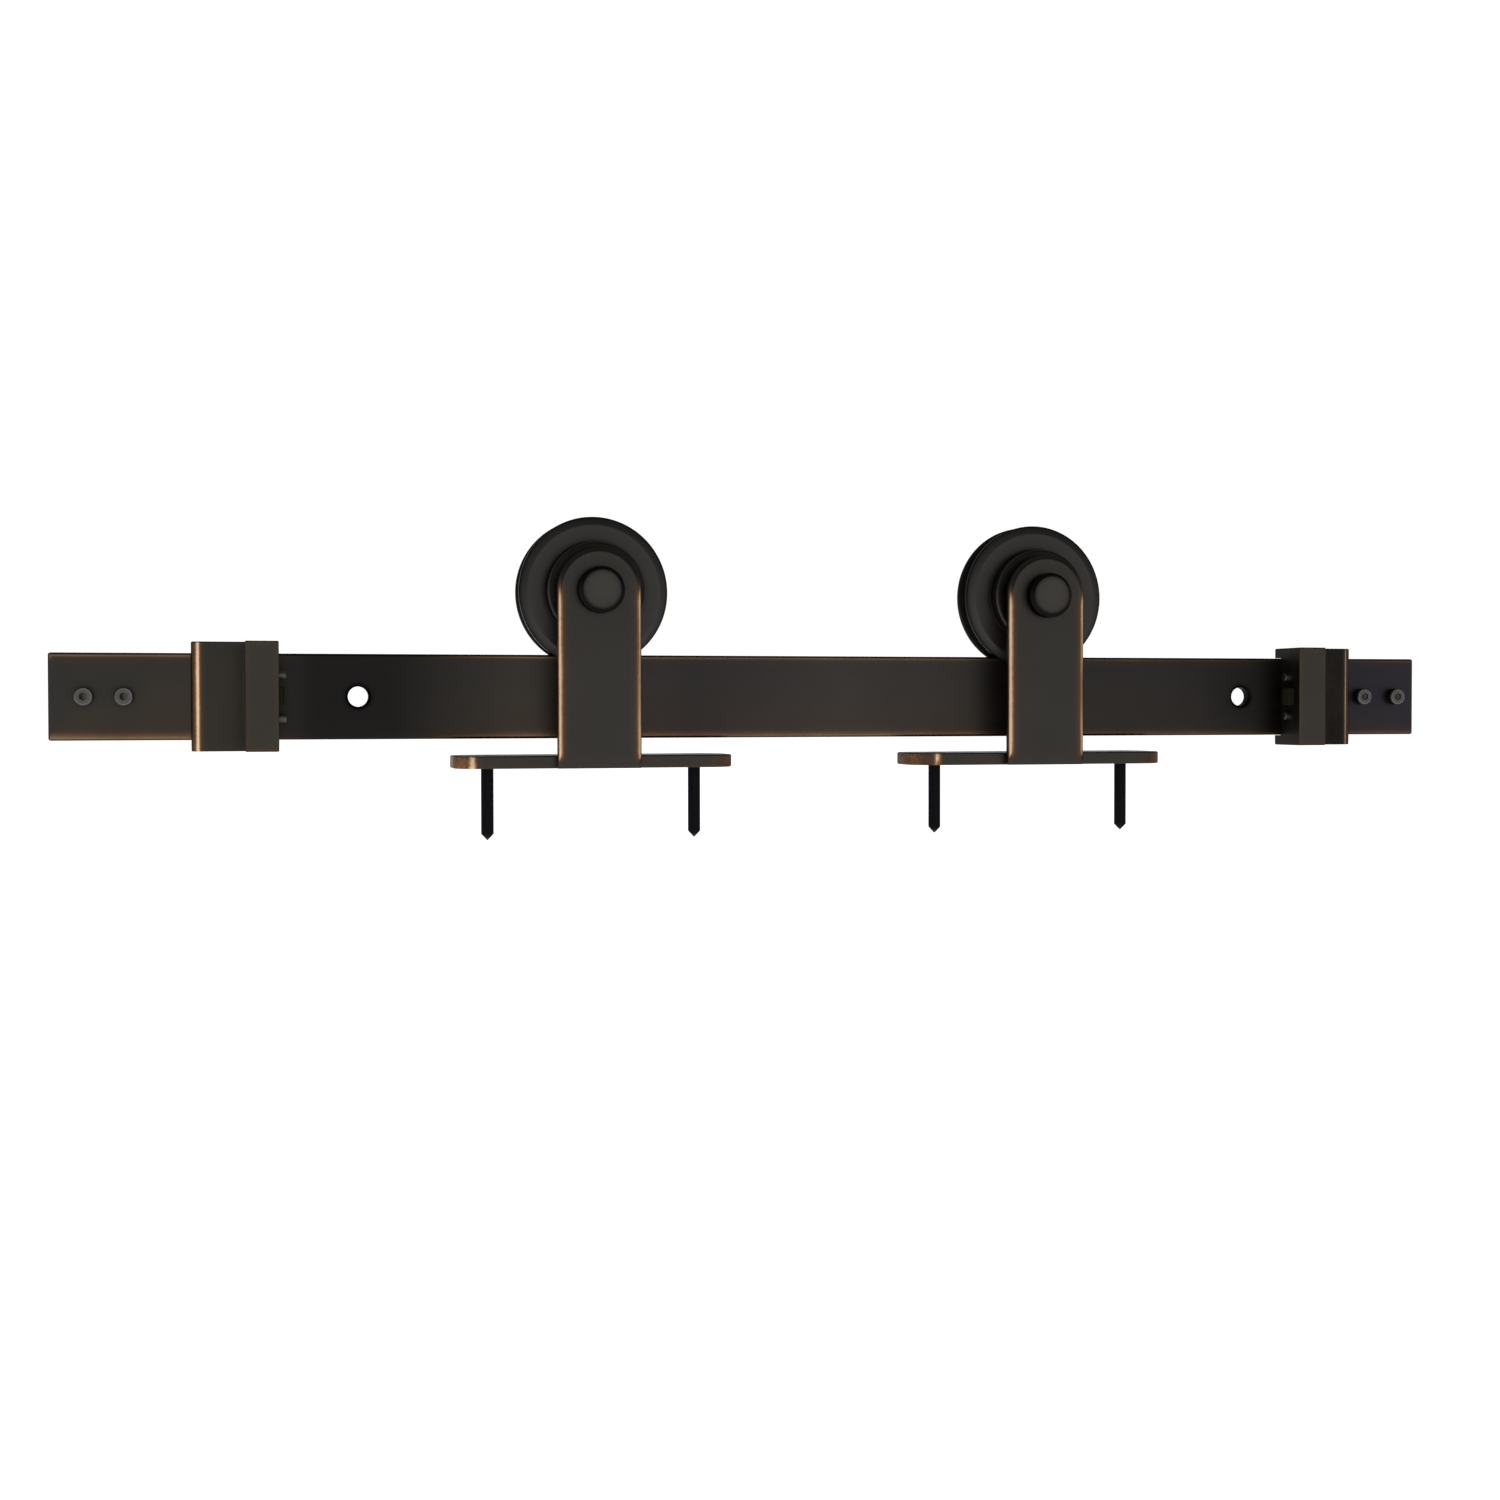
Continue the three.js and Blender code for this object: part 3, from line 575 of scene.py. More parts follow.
MATERIALS = {
    "rail": finish("rail_bronze", (0.028, 0.0256, 0.0234), BROWN, grain=ALONG_X,
                   tones_and_shade=RAIL_TONES_AND_SHADE),
    "strap": finish("strap_bronze", (0.0228, 0.0212, 0.0190), COPPER, grain=ALONG_Z),
    "plate": finish("plate_bronze", (0.0200, 0.0205, 0.0188), COPPER, grain=ALONG_X, chips=1.6),
    "stop": finish("stop_bronze", (0.0256, 0.0228, 0.0185), COPPER, grain=ALONG_Z),
    "bolt": finish("bolt_bronze", (0.032, 0.030, 0.0255), BROWN, rings=True, grain_scale=500),
    "wheel": finish("wheel_black_brown", (0.0245, 0.0232, 0.0212), GREY, rings=True,
                    grain_scale=700),
    "black": finish("black_oxide", (0.003, 0.003, 0.0042), GREY, roughness=0.5),
    "grey": finish("dark_zinc", (0.05, 0.048, 0.044), GREY, mottle=0.35, bump=0.3),
    "steel": finish("ground_steel", (0.36, 0.37, 0.38), roughness=0.28, rings=True, glare=1),
    "rubber": finish("moulded_rubber", (0.008, 0.007, 0.003), roughness=0.75, metallic=0,
                     grain_scale=1500, bump=0.25),
}


def stand_for(piece, node, material):
    """The piece takes the CAD node's place and moves with its body."""
    piece.data.materials.clear()
    piece.data.materials.append(MATERIALS[material])
    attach(piece, frame["nodes"][node]["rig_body"])
    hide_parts(node)
    return piece


# ---- Rail and its joint screws ----

JOINT_PLACES = ("left_outer", "left_inner", "right_inner", "right_outer")
MOUNTING_HOLE_RADIUS = 4.75 * MM
RAIL_BEVEL = 1.0 * MM
RAIL_CORNER = 1.1 * MM
# The bevels' corner by the side (-0.8) and the top and bottom faces (-0.6) are painted shade.
RAIL_EDGE = {"soft": 0.3 * MM, "wear_and_shade": (1.0, 0.15, -0.8), "back_share": 0.6, "side": -0.6}
RAIL_END_WEAR = 0.1  # next to the wear of the long edges
RAIL_END_MARGIN = 0.5 * MM
RAIL_LOWER_WEAR = 0.85
RAIL_LOWER_FADE = 0.35  # the power that spreads the wear out along the lower edge
RAIL_COLUMNS = [3 * MM, 8 * MM] + [k * 20 * MM for k in range(1, 16)]
# (share of the rail's length, wear) along the rail's long edges
RAIL_RUBS = [(0, 1), (0.14, 0.9), (0.15, 0.05), (0.23, 0.1), (0.3, 0.85), (0.5, 0.7),
             (0.6, 0.75), (0.75, 0.6), (0.86, 0.6), (0.9, 0.5), (1, 0.6)]
SCREW_HOLE_RADIUS = 2.58 * MM
SCREW_HOLE_BEVEL = 0.2 * MM
HOLE_SOFT = 0.1 * MM
BACK_BEVEL = 0.3 * MM  # at the back of a hole
THREAD_GAP = 0.08 * MM


def hole_rim(u, v, radius, thickness, bevel, back_bevel, wear_and_shade=0.0, reach=1):
    way_round = edge(thickness, bevel, back_bevel, HOLE_SOFT, (wear_and_shade, wear_and_shade, wear_and_shade), 1.0, wear_and_shade, reach)
    return round_hole(u, v, radius), way_round, as_given


def build_rail():
    thickness = RAIL_BACK - RAIL_FRONT
    corners = rectangle(rail_low.x, rail_high.x, rail_low.z, rail_high.z, RAIL_CORNER)

    def wear(u, v, wear_and_shade):
        """A thin worn line along the top edge and a wider brown fade along the lower one,
        stronger at some places along the rail than at others."""
        if wear_and_shade <= 0:
            return wear_and_shade
        from_end, from_side = min(u - rail_low.x, rail_high.x - u), RAIL_TOP - abs(v)
        if from_end < from_side - RAIL_END_MARGIN:
            return RAIL_END_WEAR * wear_and_shade
        along = (u - rail_low.x) / (rail_high.x - rail_low.x)
        i = max(k for k, (at, _) in enumerate(RAIL_RUBS[:-1]) if at <= along + WELD)
        (at, rubbed), (next_at, next_rubbed) = RAIL_RUBS[i], RAIL_RUBS[i + 1]
        share = rubbed + (next_rubbed - rubbed) * (along - at) / (next_at - at)
        return share * (wear_and_shade if v > 0 else RAIL_LOWER_WEAR * wear_and_shade ** RAIL_LOWER_FADE)

    way_round = edge(thickness, RAIL_BEVEL, RAIL_BEVEL, **RAIL_EDGE)
    rims = [(outline(corners, RAIL_COLUMNS), way_round, wear)]
    for opening in frame["record"]["physics"]["openings"]:
        low, high = (Vector(corner) for corner in opening["box_m"])
        centre = (low + high) / 2
        # The mounting holes' rims are given -1: painted shade inside the holes.
        rims.append(hole_rim(centre.x, centre.z, MOUNTING_HOLE_RADIUS, thickness, RAIL_BEVEL,
                             BACK_BEVEL, wear_and_shade=-1.0, reach=3))
    for place in JOINT_PLACES:
        centre = middle(f"joint_screw_{place}")
        rims.append(hole_rim(centre.x, centre.z, SCREW_HOLE_RADIUS, thickness,
                             SCREW_HOLE_BEVEL, SCREW_HOLE_BEVEL))
    return slab("rail_bar", rims, facing_front(RAIL_FRONT))


def plug(corners, start, end, place):
    """A straight cutter with the outline, between two depths."""
    return slab("cutter", [(outline(corners), [(0.0, start, 0.0), (0.0, end, 0.0)], as_given)],
                place)


def hex_cutter(place, radius, depth):
    return plug(hexagon(radius), -CUTTER_SPARE, depth, place)


NUT_STEPS = 72
NUT_FLAT_SHARE = 0.95  # of the way out to the flats, where the turned-down corners start
NUT_CORNER_SLOPE = 0.5
NUT_MOUTH = 0.5 * MM


def hex_nut(node, hole_radius):
    """A nut about Y with its corners turned down at both ends, and a chamfered bore."""
    low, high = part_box(node)
    centre = (low + high) / 2
    to_flat = (high.z - low.z) / 2 * math.cos(math.pi / 6)
    shoulder = NUT_FLAT_SHARE * to_flat
    mouth = hole_radius + NUT_MOUTH

    def way_at(angle):
        reach = to_flat / math.cos((angle + math.pi / 6) % (math.pi / 3) - math.pi / 6)
        drop = NUT_CORNER_SLOPE * (reach - shoulder)
        # The bore and its mouths are painted shade; the turned-down corners are worn a little
        # lighter.
        return [(mouth, low.y, -0.4), (shoulder, low.y, 0.1), (reach, low.y + drop, 0.3),
                (reach, high.y - drop, 0.3), (shoulder, high.y, 0.1), (mouth, high.y, -0.4),
                (hole_radius, high.y - NUT_MOUTH, -0.8), (hole_radius, low.y + NUT_MOUTH, -0.8)]

    return revolved(f"{node}_fine", way_at, about_y(centre), on_axis(centre), True, NUT_STEPS)


JOINT_SCREW_RADIUS = 2.5 * MM
JOINT_SCREW_PITCH = 0.8 * MM
JOINT_SCREW_POINT = 0.5 * MM
JOINT_HEAD_BEVEL = 0.55 * MM
JOINT_SOCKET_RADIUS = 2.0 * MM
JOINT_SOCKET_DEPTH = 0.9 * MM
JOINT_SOCKET_MARGIN = 0.5 * MM  # keeps the head's middle facets clear of the socket
# (share of the pitch along the thread, share of the pitch inward, rub), with painted shade in the
# thread's root
THREAD_SHAPE = [(0.15, 0.0, 0.0), (0.5, 0.3, -0.5), (0.85, 0.0, 0.0)]


def threaded(radius, start, end, pitch):
    """Corners of a screw's shank with its thread as fine rings, running along from start."""
    corners = []
    along = start
    while along + pitch < end:
        corners += [(radius - inward * pitch, along + share * pitch, 0, wear_and_shade)
                    for share, inward, wear_and_shade in THREAD_SHAPE]
        along += pitch
    return corners


def build_joint_screw(place_name):
    node = f"joint_screw_{place_name}"
    low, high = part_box(node)
    centre = (low + high) / 2
    head = (high.z - low.z) / 2
    # The head's bevel and the shank under the head are painted shade, a dark ring round the head;
    # the face's rim is worn lighter.
    screw = turned(f"{node}_fine", [
        (0, low.y, 0, 0),
        (JOINT_SOCKET_RADIUS + JOINT_SOCKET_MARGIN, low.y, 0, 0),
        (head - JOINT_HEAD_BEVEL, low.y, 0.1 * MM, 0.4),
        (head, low.y + JOINT_HEAD_BEVEL, 0.2 * MM, -0.6),
        (head, RAIL_FRONT, 0, -1),
        (JOINT_SCREW_RADIUS, RAIL_FRONT, 0, -1),
        *threaded(JOINT_SCREW_RADIUS, RAIL_BACK, high.y - JOINT_SCREW_POINT, JOINT_SCREW_PITCH),
        (JOINT_SCREW_RADIUS - JOINT_SCREW_POINT, high.y, 0.1 * MM, 0.3),
        (0, high.y, 0, 0)], about_y(centre), on_axis(centre), steps=64)
    socket = hex_cutter(lambda u, v, depth: about_y(centre)(u, v, low.y + depth),
                        JOINT_SOCKET_RADIUS, JOINT_SOCKET_DEPTH)
    stand_for(cut(screw, socket), node, "grey")


stand_for(build_rail(), "rail", "rail")
for place_name in JOINT_PLACES:
    build_joint_screw(place_name)
    nut = f"joint_nut_{place_name}"
    stand_for(hex_nut(nut, JOINT_SCREW_RADIUS + THREAD_GAP), nut, "grey")


# ---- Hangers ----

STRAP_BEVEL = 1.8 * MM
# The side bevels' bright middle is wear with a painted reflection on it; the side faces' -0.6 is
# painted shade.
STRAP_EDGE = {"soft": 0.3 * MM, "wear_and_shade": (0.5, 1.0, 0.1), "back_share": 0.5, "side": -0.6}
STRAP_FOOT_CORNER = 0.4 * MM
STRAP_TOP_STEPS = 28
STRAP_ROWS = [2 * MM, 5 * MM, 8 * MM, 16 * MM, 30 * MM]
STRAP_TOP_FADE = -6 * MM, 9 * MM  # from the axle, where the wear and painted reflection give way to painted shade
STRAP_FOOT_FADE = 2 * MM, 6 * MM  # from the foot, where the wear starts
STRAP_TOP_LOSS, STRAP_TOP_SHADE = 0.9, 0.3  # how much of the wear and painted reflection is lost there, and how dark the painted shade is
PLATE_BEVEL = 0.5 * MM
PLATE_EDGE = {"soft": 0.15 * MM, "wear_and_shade": (0.7, 1.0, 1.0), "back_share": 0.9, "side": 1.0}
PLATE_CORNER_STEPS = 16
PLATE_RIGHT_WEAR, PLATE_LEAST_WEAR = 0.3, 0.04
PLATE_LEFT_SPREAD, PLATE_RIGHT_SPREAD = 1.3, 1.4  # next to the corner's radius
# (wear of the scuff and its painted highlight, how far it is from the plate's left end, wear of
# the whole left end)
PLATE_LOOKS = {"left": (0.95, 8 * MM, 0.45), "right": (0.7, 12 * MM, 0.32)}
SCUFF_AND_HIGHLIGHT_WIDTH = 1.8 * MM
PLATE_CORNER_RADIUS = 13 * MM
AXLE_RADIUS = 6 * MM
AXLE_GAP = 0.06 * MM
AXLE_HOLE_RADIUS = 6.3 * MM
AXLE_HEAD_BEVEL = 1.6 * MM
AXLE_PITCH = 1.75 * MM
AXLE_POINT, AXLE_POINT_LENGTH = 1 * MM, 0.8 * MM
THREAD_UNDER_NUT = 4 * MM  # how far the thread starts in front of the nut's back
DOOR_SCREW_RADIUS = 3 * MM
DOOR_SCREW_HOLE_RADIUS = 3.3 * MM
DOOR_SCREW_RIM = 0.3 * MM
DOOR_SCREW_POINT = 3 * MM
DOOR_SCREW_TIP_RADIUS, DOOR_SCREW_TIP_RISE = 0.25 * MM, 0.05 * MM
COUNTERSINK = 2.8 * MM
DRIVE_RADIUS = 2 * MM
DRIVE_DEPTH = 1.8 * MM
TUBE_SOFT = 0.15 * MM


def smooth(value, start, end):
    """0 before start, 1 after end, and a smooth rise between them."""
    t = min(max((value - start) / (end - start), 0), 1)
    return t * t * (3 - 2 * t)


def build_strap(side):
    node = f"{side}_strap"
    low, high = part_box(node)
    half = (high.x - low.x) / 2
    axle_z = high.z - half
    corners = [(low.x, low.z, STRAP_FOOT_CORNER, CORNER_STEPS),
               (high.x, low.z, STRAP_FOOT_CORNER, CORNER_STEPS),
               (high.x, high.z, half, STRAP_TOP_STEPS), (low.x, high.z, half, STRAP_TOP_STEPS)]

    def wear(u, v, wear_and_shade):
        """Worn, with a painted reflection, along the sides, in painted shade round the top, and
        plain at the foot.
        """
        over_top = smooth(v, *(axle_z + d for d in STRAP_TOP_FADE))
        above_foot = smooth(v, *(low.z + d for d in STRAP_FOOT_FADE))
        faded = wear_and_shade * (1 - STRAP_TOP_LOSS * over_top) * above_foot
        return faded - STRAP_TOP_SHADE * over_top if wear_and_shade > STRAP_TOP_SHADE else faded

    thickness = high.y - low.y
    rims = [(outline(corners, STRAP_ROWS),
             edge(thickness, STRAP_BEVEL, STRAP_BEVEL, **STRAP_EDGE), wear),
            hole_rim((low.x + high.x) / 2, axle_z, AXLE_HOLE_RADIUS, thickness,
                     BACK_BEVEL, BACK_BEVEL)]
    stand_for(slab(f"{side}_strap_bar", rims, facing_front(low.y)), node, "strap")


def build_plate(side):
    node = f"{side}_t_plate"
    low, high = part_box(node)
    corners = rectangle(low.x, high.x, low.y, high.y, PLATE_CORNER_RADIUS, PLATE_CORNER_STEPS)
    thickness = high.z - low.z
    most, scuff_and_highlight_place, left_most = PLATE_LOOKS[side]

    def wear(u, v, wear_and_shade):
        """Scuffed on the rounded corners, most on the front left one, where the scuff also carries
        a painted highlight.
        """
        from_left, from_right = u - low.x, high.x - u
        left_spot = most * math.exp(-((from_left - scuff_and_highlight_place) / SCUFF_AND_HIGHLIGHT_WIDTH) ** 2)
        left_end = 1 - smooth(from_left, 0, PLATE_LEFT_SPREAD * PLATE_CORNER_RADIUS)
        right_end = 1 - smooth(from_right, 0, PLATE_RIGHT_SPREAD * PLATE_CORNER_RADIUS)
        return wear_and_shade * max(left_spot, left_most * left_end, PLATE_RIGHT_WEAR * right_end,
                         PLATE_LEAST_WEAR)

    way_round = edge(thickness, PLATE_BEVEL, PLATE_BEVEL, **PLATE_EDGE)
    rims = [(outline(corners, STRAP_ROWS), way_round, wear)]
    for end in ("left", "right"):
        screw = middle(f"{side}_door_screw_{end}")
        rims.append(hole_rim(screw.x, screw.y, DOOR_SCREW_HOLE_RADIUS, thickness, COUNTERSINK,
                             BACK_BEVEL, wear_and_shade=0.4))
    stand_for(slab(f"{side}_t_plate_bar", rims, facing_up(high.z)), node, "plate")


def build_door_screw(side, end):
    node = f"{side}_door_screw_{end}"
    low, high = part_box(node)
    centre = (low + high) / 2
    head = (high.x - low.x) / 2
    rim_z = high.z - DOOR_SCREW_RIM
    screw = turned(f"{node}_fine", [
        (0, high.z, 0, 0),
        (head - DOOR_SCREW_RIM, high.z, 0, 0.3),
        (head, rim_z, 0, 0.3),
        (DOOR_SCREW_RADIUS, rim_z - (head - DOOR_SCREW_RADIUS), 0.3 * MM, 0),
        (DOOR_SCREW_RADIUS, low.z + DOOR_SCREW_POINT, 0.4 * MM, 0),
        (DOOR_SCREW_TIP_RADIUS, low.z + DOOR_SCREW_TIP_RISE, 0.1 * MM, 0.3),
        (0, low.z, 0, 0.3)], about_z(centre), Vector((centre.x, centre.y, high.z)), steps=64)
    drive = hex_cutter(lambda u, v, depth: about_z(centre)(u, v, high.z - depth),
                       DRIVE_RADIUS, DRIVE_DEPTH)
    stand_for(cut(screw, drive), node, "black")


def build_axle_bolt(side):
    node = f"{side}_axle_bolt"
    low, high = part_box(node)
    centre = (low + high) / 2
    head = (high.z - low.z) / 2
    strap_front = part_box(f"{side}_strap")[0].y
    thread_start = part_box(f"{side}_axle_nut")[1].y - THREAD_UNDER_NUT
    # The head's bevel, its side and the shank under it get -1: painted shade, a dark ring round
    # the head.
    bolt = turned(f"{node}_fine", [
        (0, low.y, 0, 0),
        (head - AXLE_HEAD_BEVEL, low.y, 0.15 * MM, -1),
        (head, low.y + AXLE_HEAD_BEVEL, 0.3 * MM, -1),
        (head, strap_front, 0, -1),
        (AXLE_RADIUS, strap_front, 0, -1),
        (AXLE_RADIUS, thread_start, 0, 0),
        *threaded(AXLE_RADIUS, thread_start, high.y - AXLE_POINT_LENGTH, AXLE_PITCH),
        (AXLE_RADIUS - AXLE_POINT, high.y, 0.2 * MM, 0.4),
        (0, high.y, 0, 0)], about_y(centre), on_axis(centre))
    stand_for(bolt, node, "bolt")


def build_tube(node, inner):
    """A ring about Y in the CAD node's place, with softened edges."""
    low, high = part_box(node)
    centre = (low + high) / 2
    section = ring_section(inner, (high.x - low.x) / 2, low.y, high.y, TUBE_SOFT)
    return turned(f"{node}_fine", section, about_y(centre), on_axis(centre), closed=True)


# The wheel and its bearing
GROOVE_RADIUS = 30 * MM
GROOVE_HALF = 3.5 * MM
GROOVE_FLARE = 1 * MM
FLANGE_BEVEL = 1.5 * MM
FLANGE_BEVEL_WIDTH = 4 * MM
WITHIN_BOX = 0.01 * MM  # keeps the rim just inside the CAD box
HUB_RADIUS = 23.5 * MM
HUB_BEVEL = 1 * MM
HUB_RING = 3 * MM  # between the hub's rim and where the painted shade darkens its face
HUB_SOFT = 0.25 * MM
WHEEL_STEPS = 160
SEAT_MOUTH = 0.5 * MM
BEARING_RADIUS = 16 * MM
BEARING_SHOULDER = 3.5 * MM
RING_WALL = 2.6 * MM
SEAT_GAP = 0.02 * MM
RETAINING_GROOVE = 0.9 * MM
RETAINING_WALL = 2.2 * MM
RING_END_GAP = 0.3 * MM
RING_SOFT = 0.1 * MM
RING_MOUTH = 7 * MM
BALLS = 8
BALL_CLEARANCE = 0.1 * MM
BALL_SEGMENTS = {"u_segments": 24, "v_segments": 14}
CAGE_HALF = 0.6 * MM


def build_wheel(side):
    node = f"{side}_wheel"
    low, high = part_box(node)
    centre = (low + high) / 2
    bearing_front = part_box(f"{side}_bearing_outer_ring")[0].y
    ring_low, ring_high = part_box(f"{side}_retaining_ring")
    flange = (high.z - low.z) / 2 - WITHIN_BOX
    flange_front = 2 * RAIL_MIDDLE - high.y
    seat = BEARING_RADIUS + SEAT_GAP
    bore = BEARING_RADIUS - BEARING_SHOULDER
    groove = [ring_low.y - RING_END_GAP, ring_high.y + RING_END_GAP]
    floor = [RAIL_MIDDLE - GROOVE_HALF, RAIL_MIDDLE + GROOVE_HALF]
    # Values below 0 are painted shade: the hub's face as in the strap's shadow, the corner at the
    # hub's foot, the flanges' rims and the groove, and the bore, seat and ring groove.
    wheel = turned(f"{node}_fine", [
        (bore, low.y, HUB_SOFT, -0.8),
        (HUB_RADIUS - HUB_RING, low.y, 0, -0.85),
        (HUB_RADIUS - HUB_BEVEL, low.y, HUB_SOFT, -0.8),
        (HUB_RADIUS, low.y + HUB_BEVEL, HUB_SOFT, 0.1),
        (HUB_RADIUS, flange_front, 0.5 * MM, -0.8),
        (flange - FLANGE_BEVEL_WIDTH, flange_front, 1.5 * MM, 0.02),
        (flange, flange_front + FLANGE_BEVEL, 0.35 * MM, -0.9),
        (flange, floor[0] - GROOVE_FLARE, 0.3 * MM, -0.9),
        (GROOVE_RADIUS, floor[0], 0.3 * MM, -0.7),
        (GROOVE_RADIUS, floor[1], 0.3 * MM, -0.7),
        (flange, floor[1] + GROOVE_FLARE, 0.3 * MM, -0.8),
        (flange, high.y - FLANGE_BEVEL, 0.35 * MM, -0.8),
        (flange - FLANGE_BEVEL_WIDTH, high.y, 0.6 * MM, 0.12),
        (seat + SEAT_MOUTH, high.y, 0.1 * MM, 0.2),
        (seat, high.y - SEAT_MOUTH, 0.1 * MM, 0.2),
        (seat, groove[1], 0, -0.5),
        (seat + RETAINING_GROOVE, groove[1], 0, -0.8),
        (seat + RETAINING_GROOVE, groove[0], 0, -0.8),
        (seat, groove[0], 0, -0.5),
        (seat, bearing_front, 0, -0.5),
        (bore, bearing_front, 0, -0.5)],
        about_y(centre), on_axis(centre, RAIL_MIDDLE), closed=True, steps=WHEEL_STEPS)
    stand_for(wheel, node, "wheel")


def build_balls(side):
    """The bearing's balls in their ring-shaped cage."""
    node = f"{side}_bearing_balls"
    low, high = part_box(node)
    centre = (low + high) / 2
    inner, outer = AXLE_RADIUS + RING_WALL, BEARING_RADIUS - RING_WALL
    pitch, ball = (inner + outer) / 2, (outer - inner) / 2 - BALL_CLEARANCE
    bm = bmesh.new()
    for k in range(BALLS):
        angle = 2 * math.pi * k / BALLS
        place = about_y(centre)(pitch * math.cos(angle), pitch * math.sin(angle), centre.y)
        bmesh.ops.create_uvsphere(bm, **BALL_SEGMENTS, radius=ball,
                                  matrix=Matrix.Translation(place))
    balls = finished(f"{node}_fine", bm, on_axis(centre, RAIL_MIDDLE))
    section = ring_section(pitch - CAGE_HALF, pitch + CAGE_HALF, centre.y - CAGE_HALF,
                           centre.y + CAGE_HALF, RING_SOFT)
    cage = turned(f"{side}_bearing_cage", section, about_y(centre),
                  on_axis(centre, RAIL_MIDDLE), closed=True)
    cage.data.materials.append(MATERIALS["steel"])
    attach(cage, f"{side}_roller")
    stand_for(balls, node, "steel")


def build_retaining_ring(side):
    """A snap ring, open at the top."""
    node = f"{side}_retaining_ring"
    low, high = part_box(node)
    outer = BEARING_RADIUS + RETAINING_GROOVE - SEAT_GAP
    centre = Vector((middle(node).x, 0, middle(f"{side}_wheel").z))
    section = ring_section(outer - RETAINING_WALL, outer, low.y, high.y, RING_SOFT)
    ring = turned(f"{node}_fine", section, about_y(centre), centre, closed=True)
    mouth = rectangle(centre.x - RING_MOUTH / 2, centre.x + RING_MOUTH / 2,
                      centre.z, centre.z + 2 * outer, 0, 0)
    gap = plug(mouth, -CUTTER_SPARE, high.y - low.y + CUTTER_SPARE, facing_front(low.y))
    stand_for(cut(ring, gap), node, "black")


def build_hanger(side):
    build_strap(side)
    build_plate(side)
    for end in ("left", "right"):
        build_door_screw(side, end)
    build_axle_bolt(side)
    axle_bore = AXLE_RADIUS + AXLE_GAP
    inner_ring_outer = AXLE_RADIUS + RING_WALL
    tubes = [
        ("axle_spacer", axle_bore, "black"),
        ("axle_washer", axle_bore, "grey"),
        ("bearing_inner_ring", axle_bore, "steel"),
        ("bearing_outer_ring", BEARING_RADIUS - RING_WALL, "steel"),
        ("bearing_shield_front", inner_ring_outer + RING_END_GAP, "black"),
        ("bearing_shield_rear", inner_ring_outer + RING_END_GAP, "black"),
    ]
    for part, inner, material in tubes:
        node = f"{side}_{part}"
        stand_for(build_tube(node, inner), node, material)
    nut = f"{side}_axle_nut"
    stand_for(hex_nut(nut, axle_bore), nut, "grey")
    build_wheel(side)
    build_balls(side)
    build_retaining_ring(side)


build_hanger("left")
build_hanger("right")


# ---- Stops ----

STOP_BLOCK_LENGTH = 15 * MM
STOP_WALL_FRONT = RAIL_FRONT - 3.25 * MM
STOP_OUTER_ROUND = 2.6 * MM
STOP_EDGE = 0.6 * MM
STOP_LINE = 0.4 * MM
STOP_CORNER_REACH = 0.6 * MM
STOP_BACK_CORNER = 0.2 * MM
STOP_RECESS_CORNER = 0.4 * MM
STOP_ROUND_STEPS = 6
STOP_FACE_WEAR = 0.2
# painted shade on the stop's inner side face, which faces the hanger
STOP_SIDE_SHADE = 0.35
STOP_CLEARANCE = 0.25 * MM
BUFFER_GAP = 0.1 * MM
BUFFER_CORNER, BUFFER_CORNER_STEPS = 1.0 * MM, 5
BUFFER_EDGE = {"soft": 0.7 * MM, "wear_and_shade": (0.2, 0.2, 0.2), "back_share": 1.0, "reach": 2}
SMALL_SCREW_BEVEL = 0.3 * MM
SMALL_SOCKET_RADIUS = 1.1 * MM
SMALL_SOCKET_DEPTH = 1.6 * MM
DRILL_SPARE = 0.1 * MM
DRILL_STEPS = 30


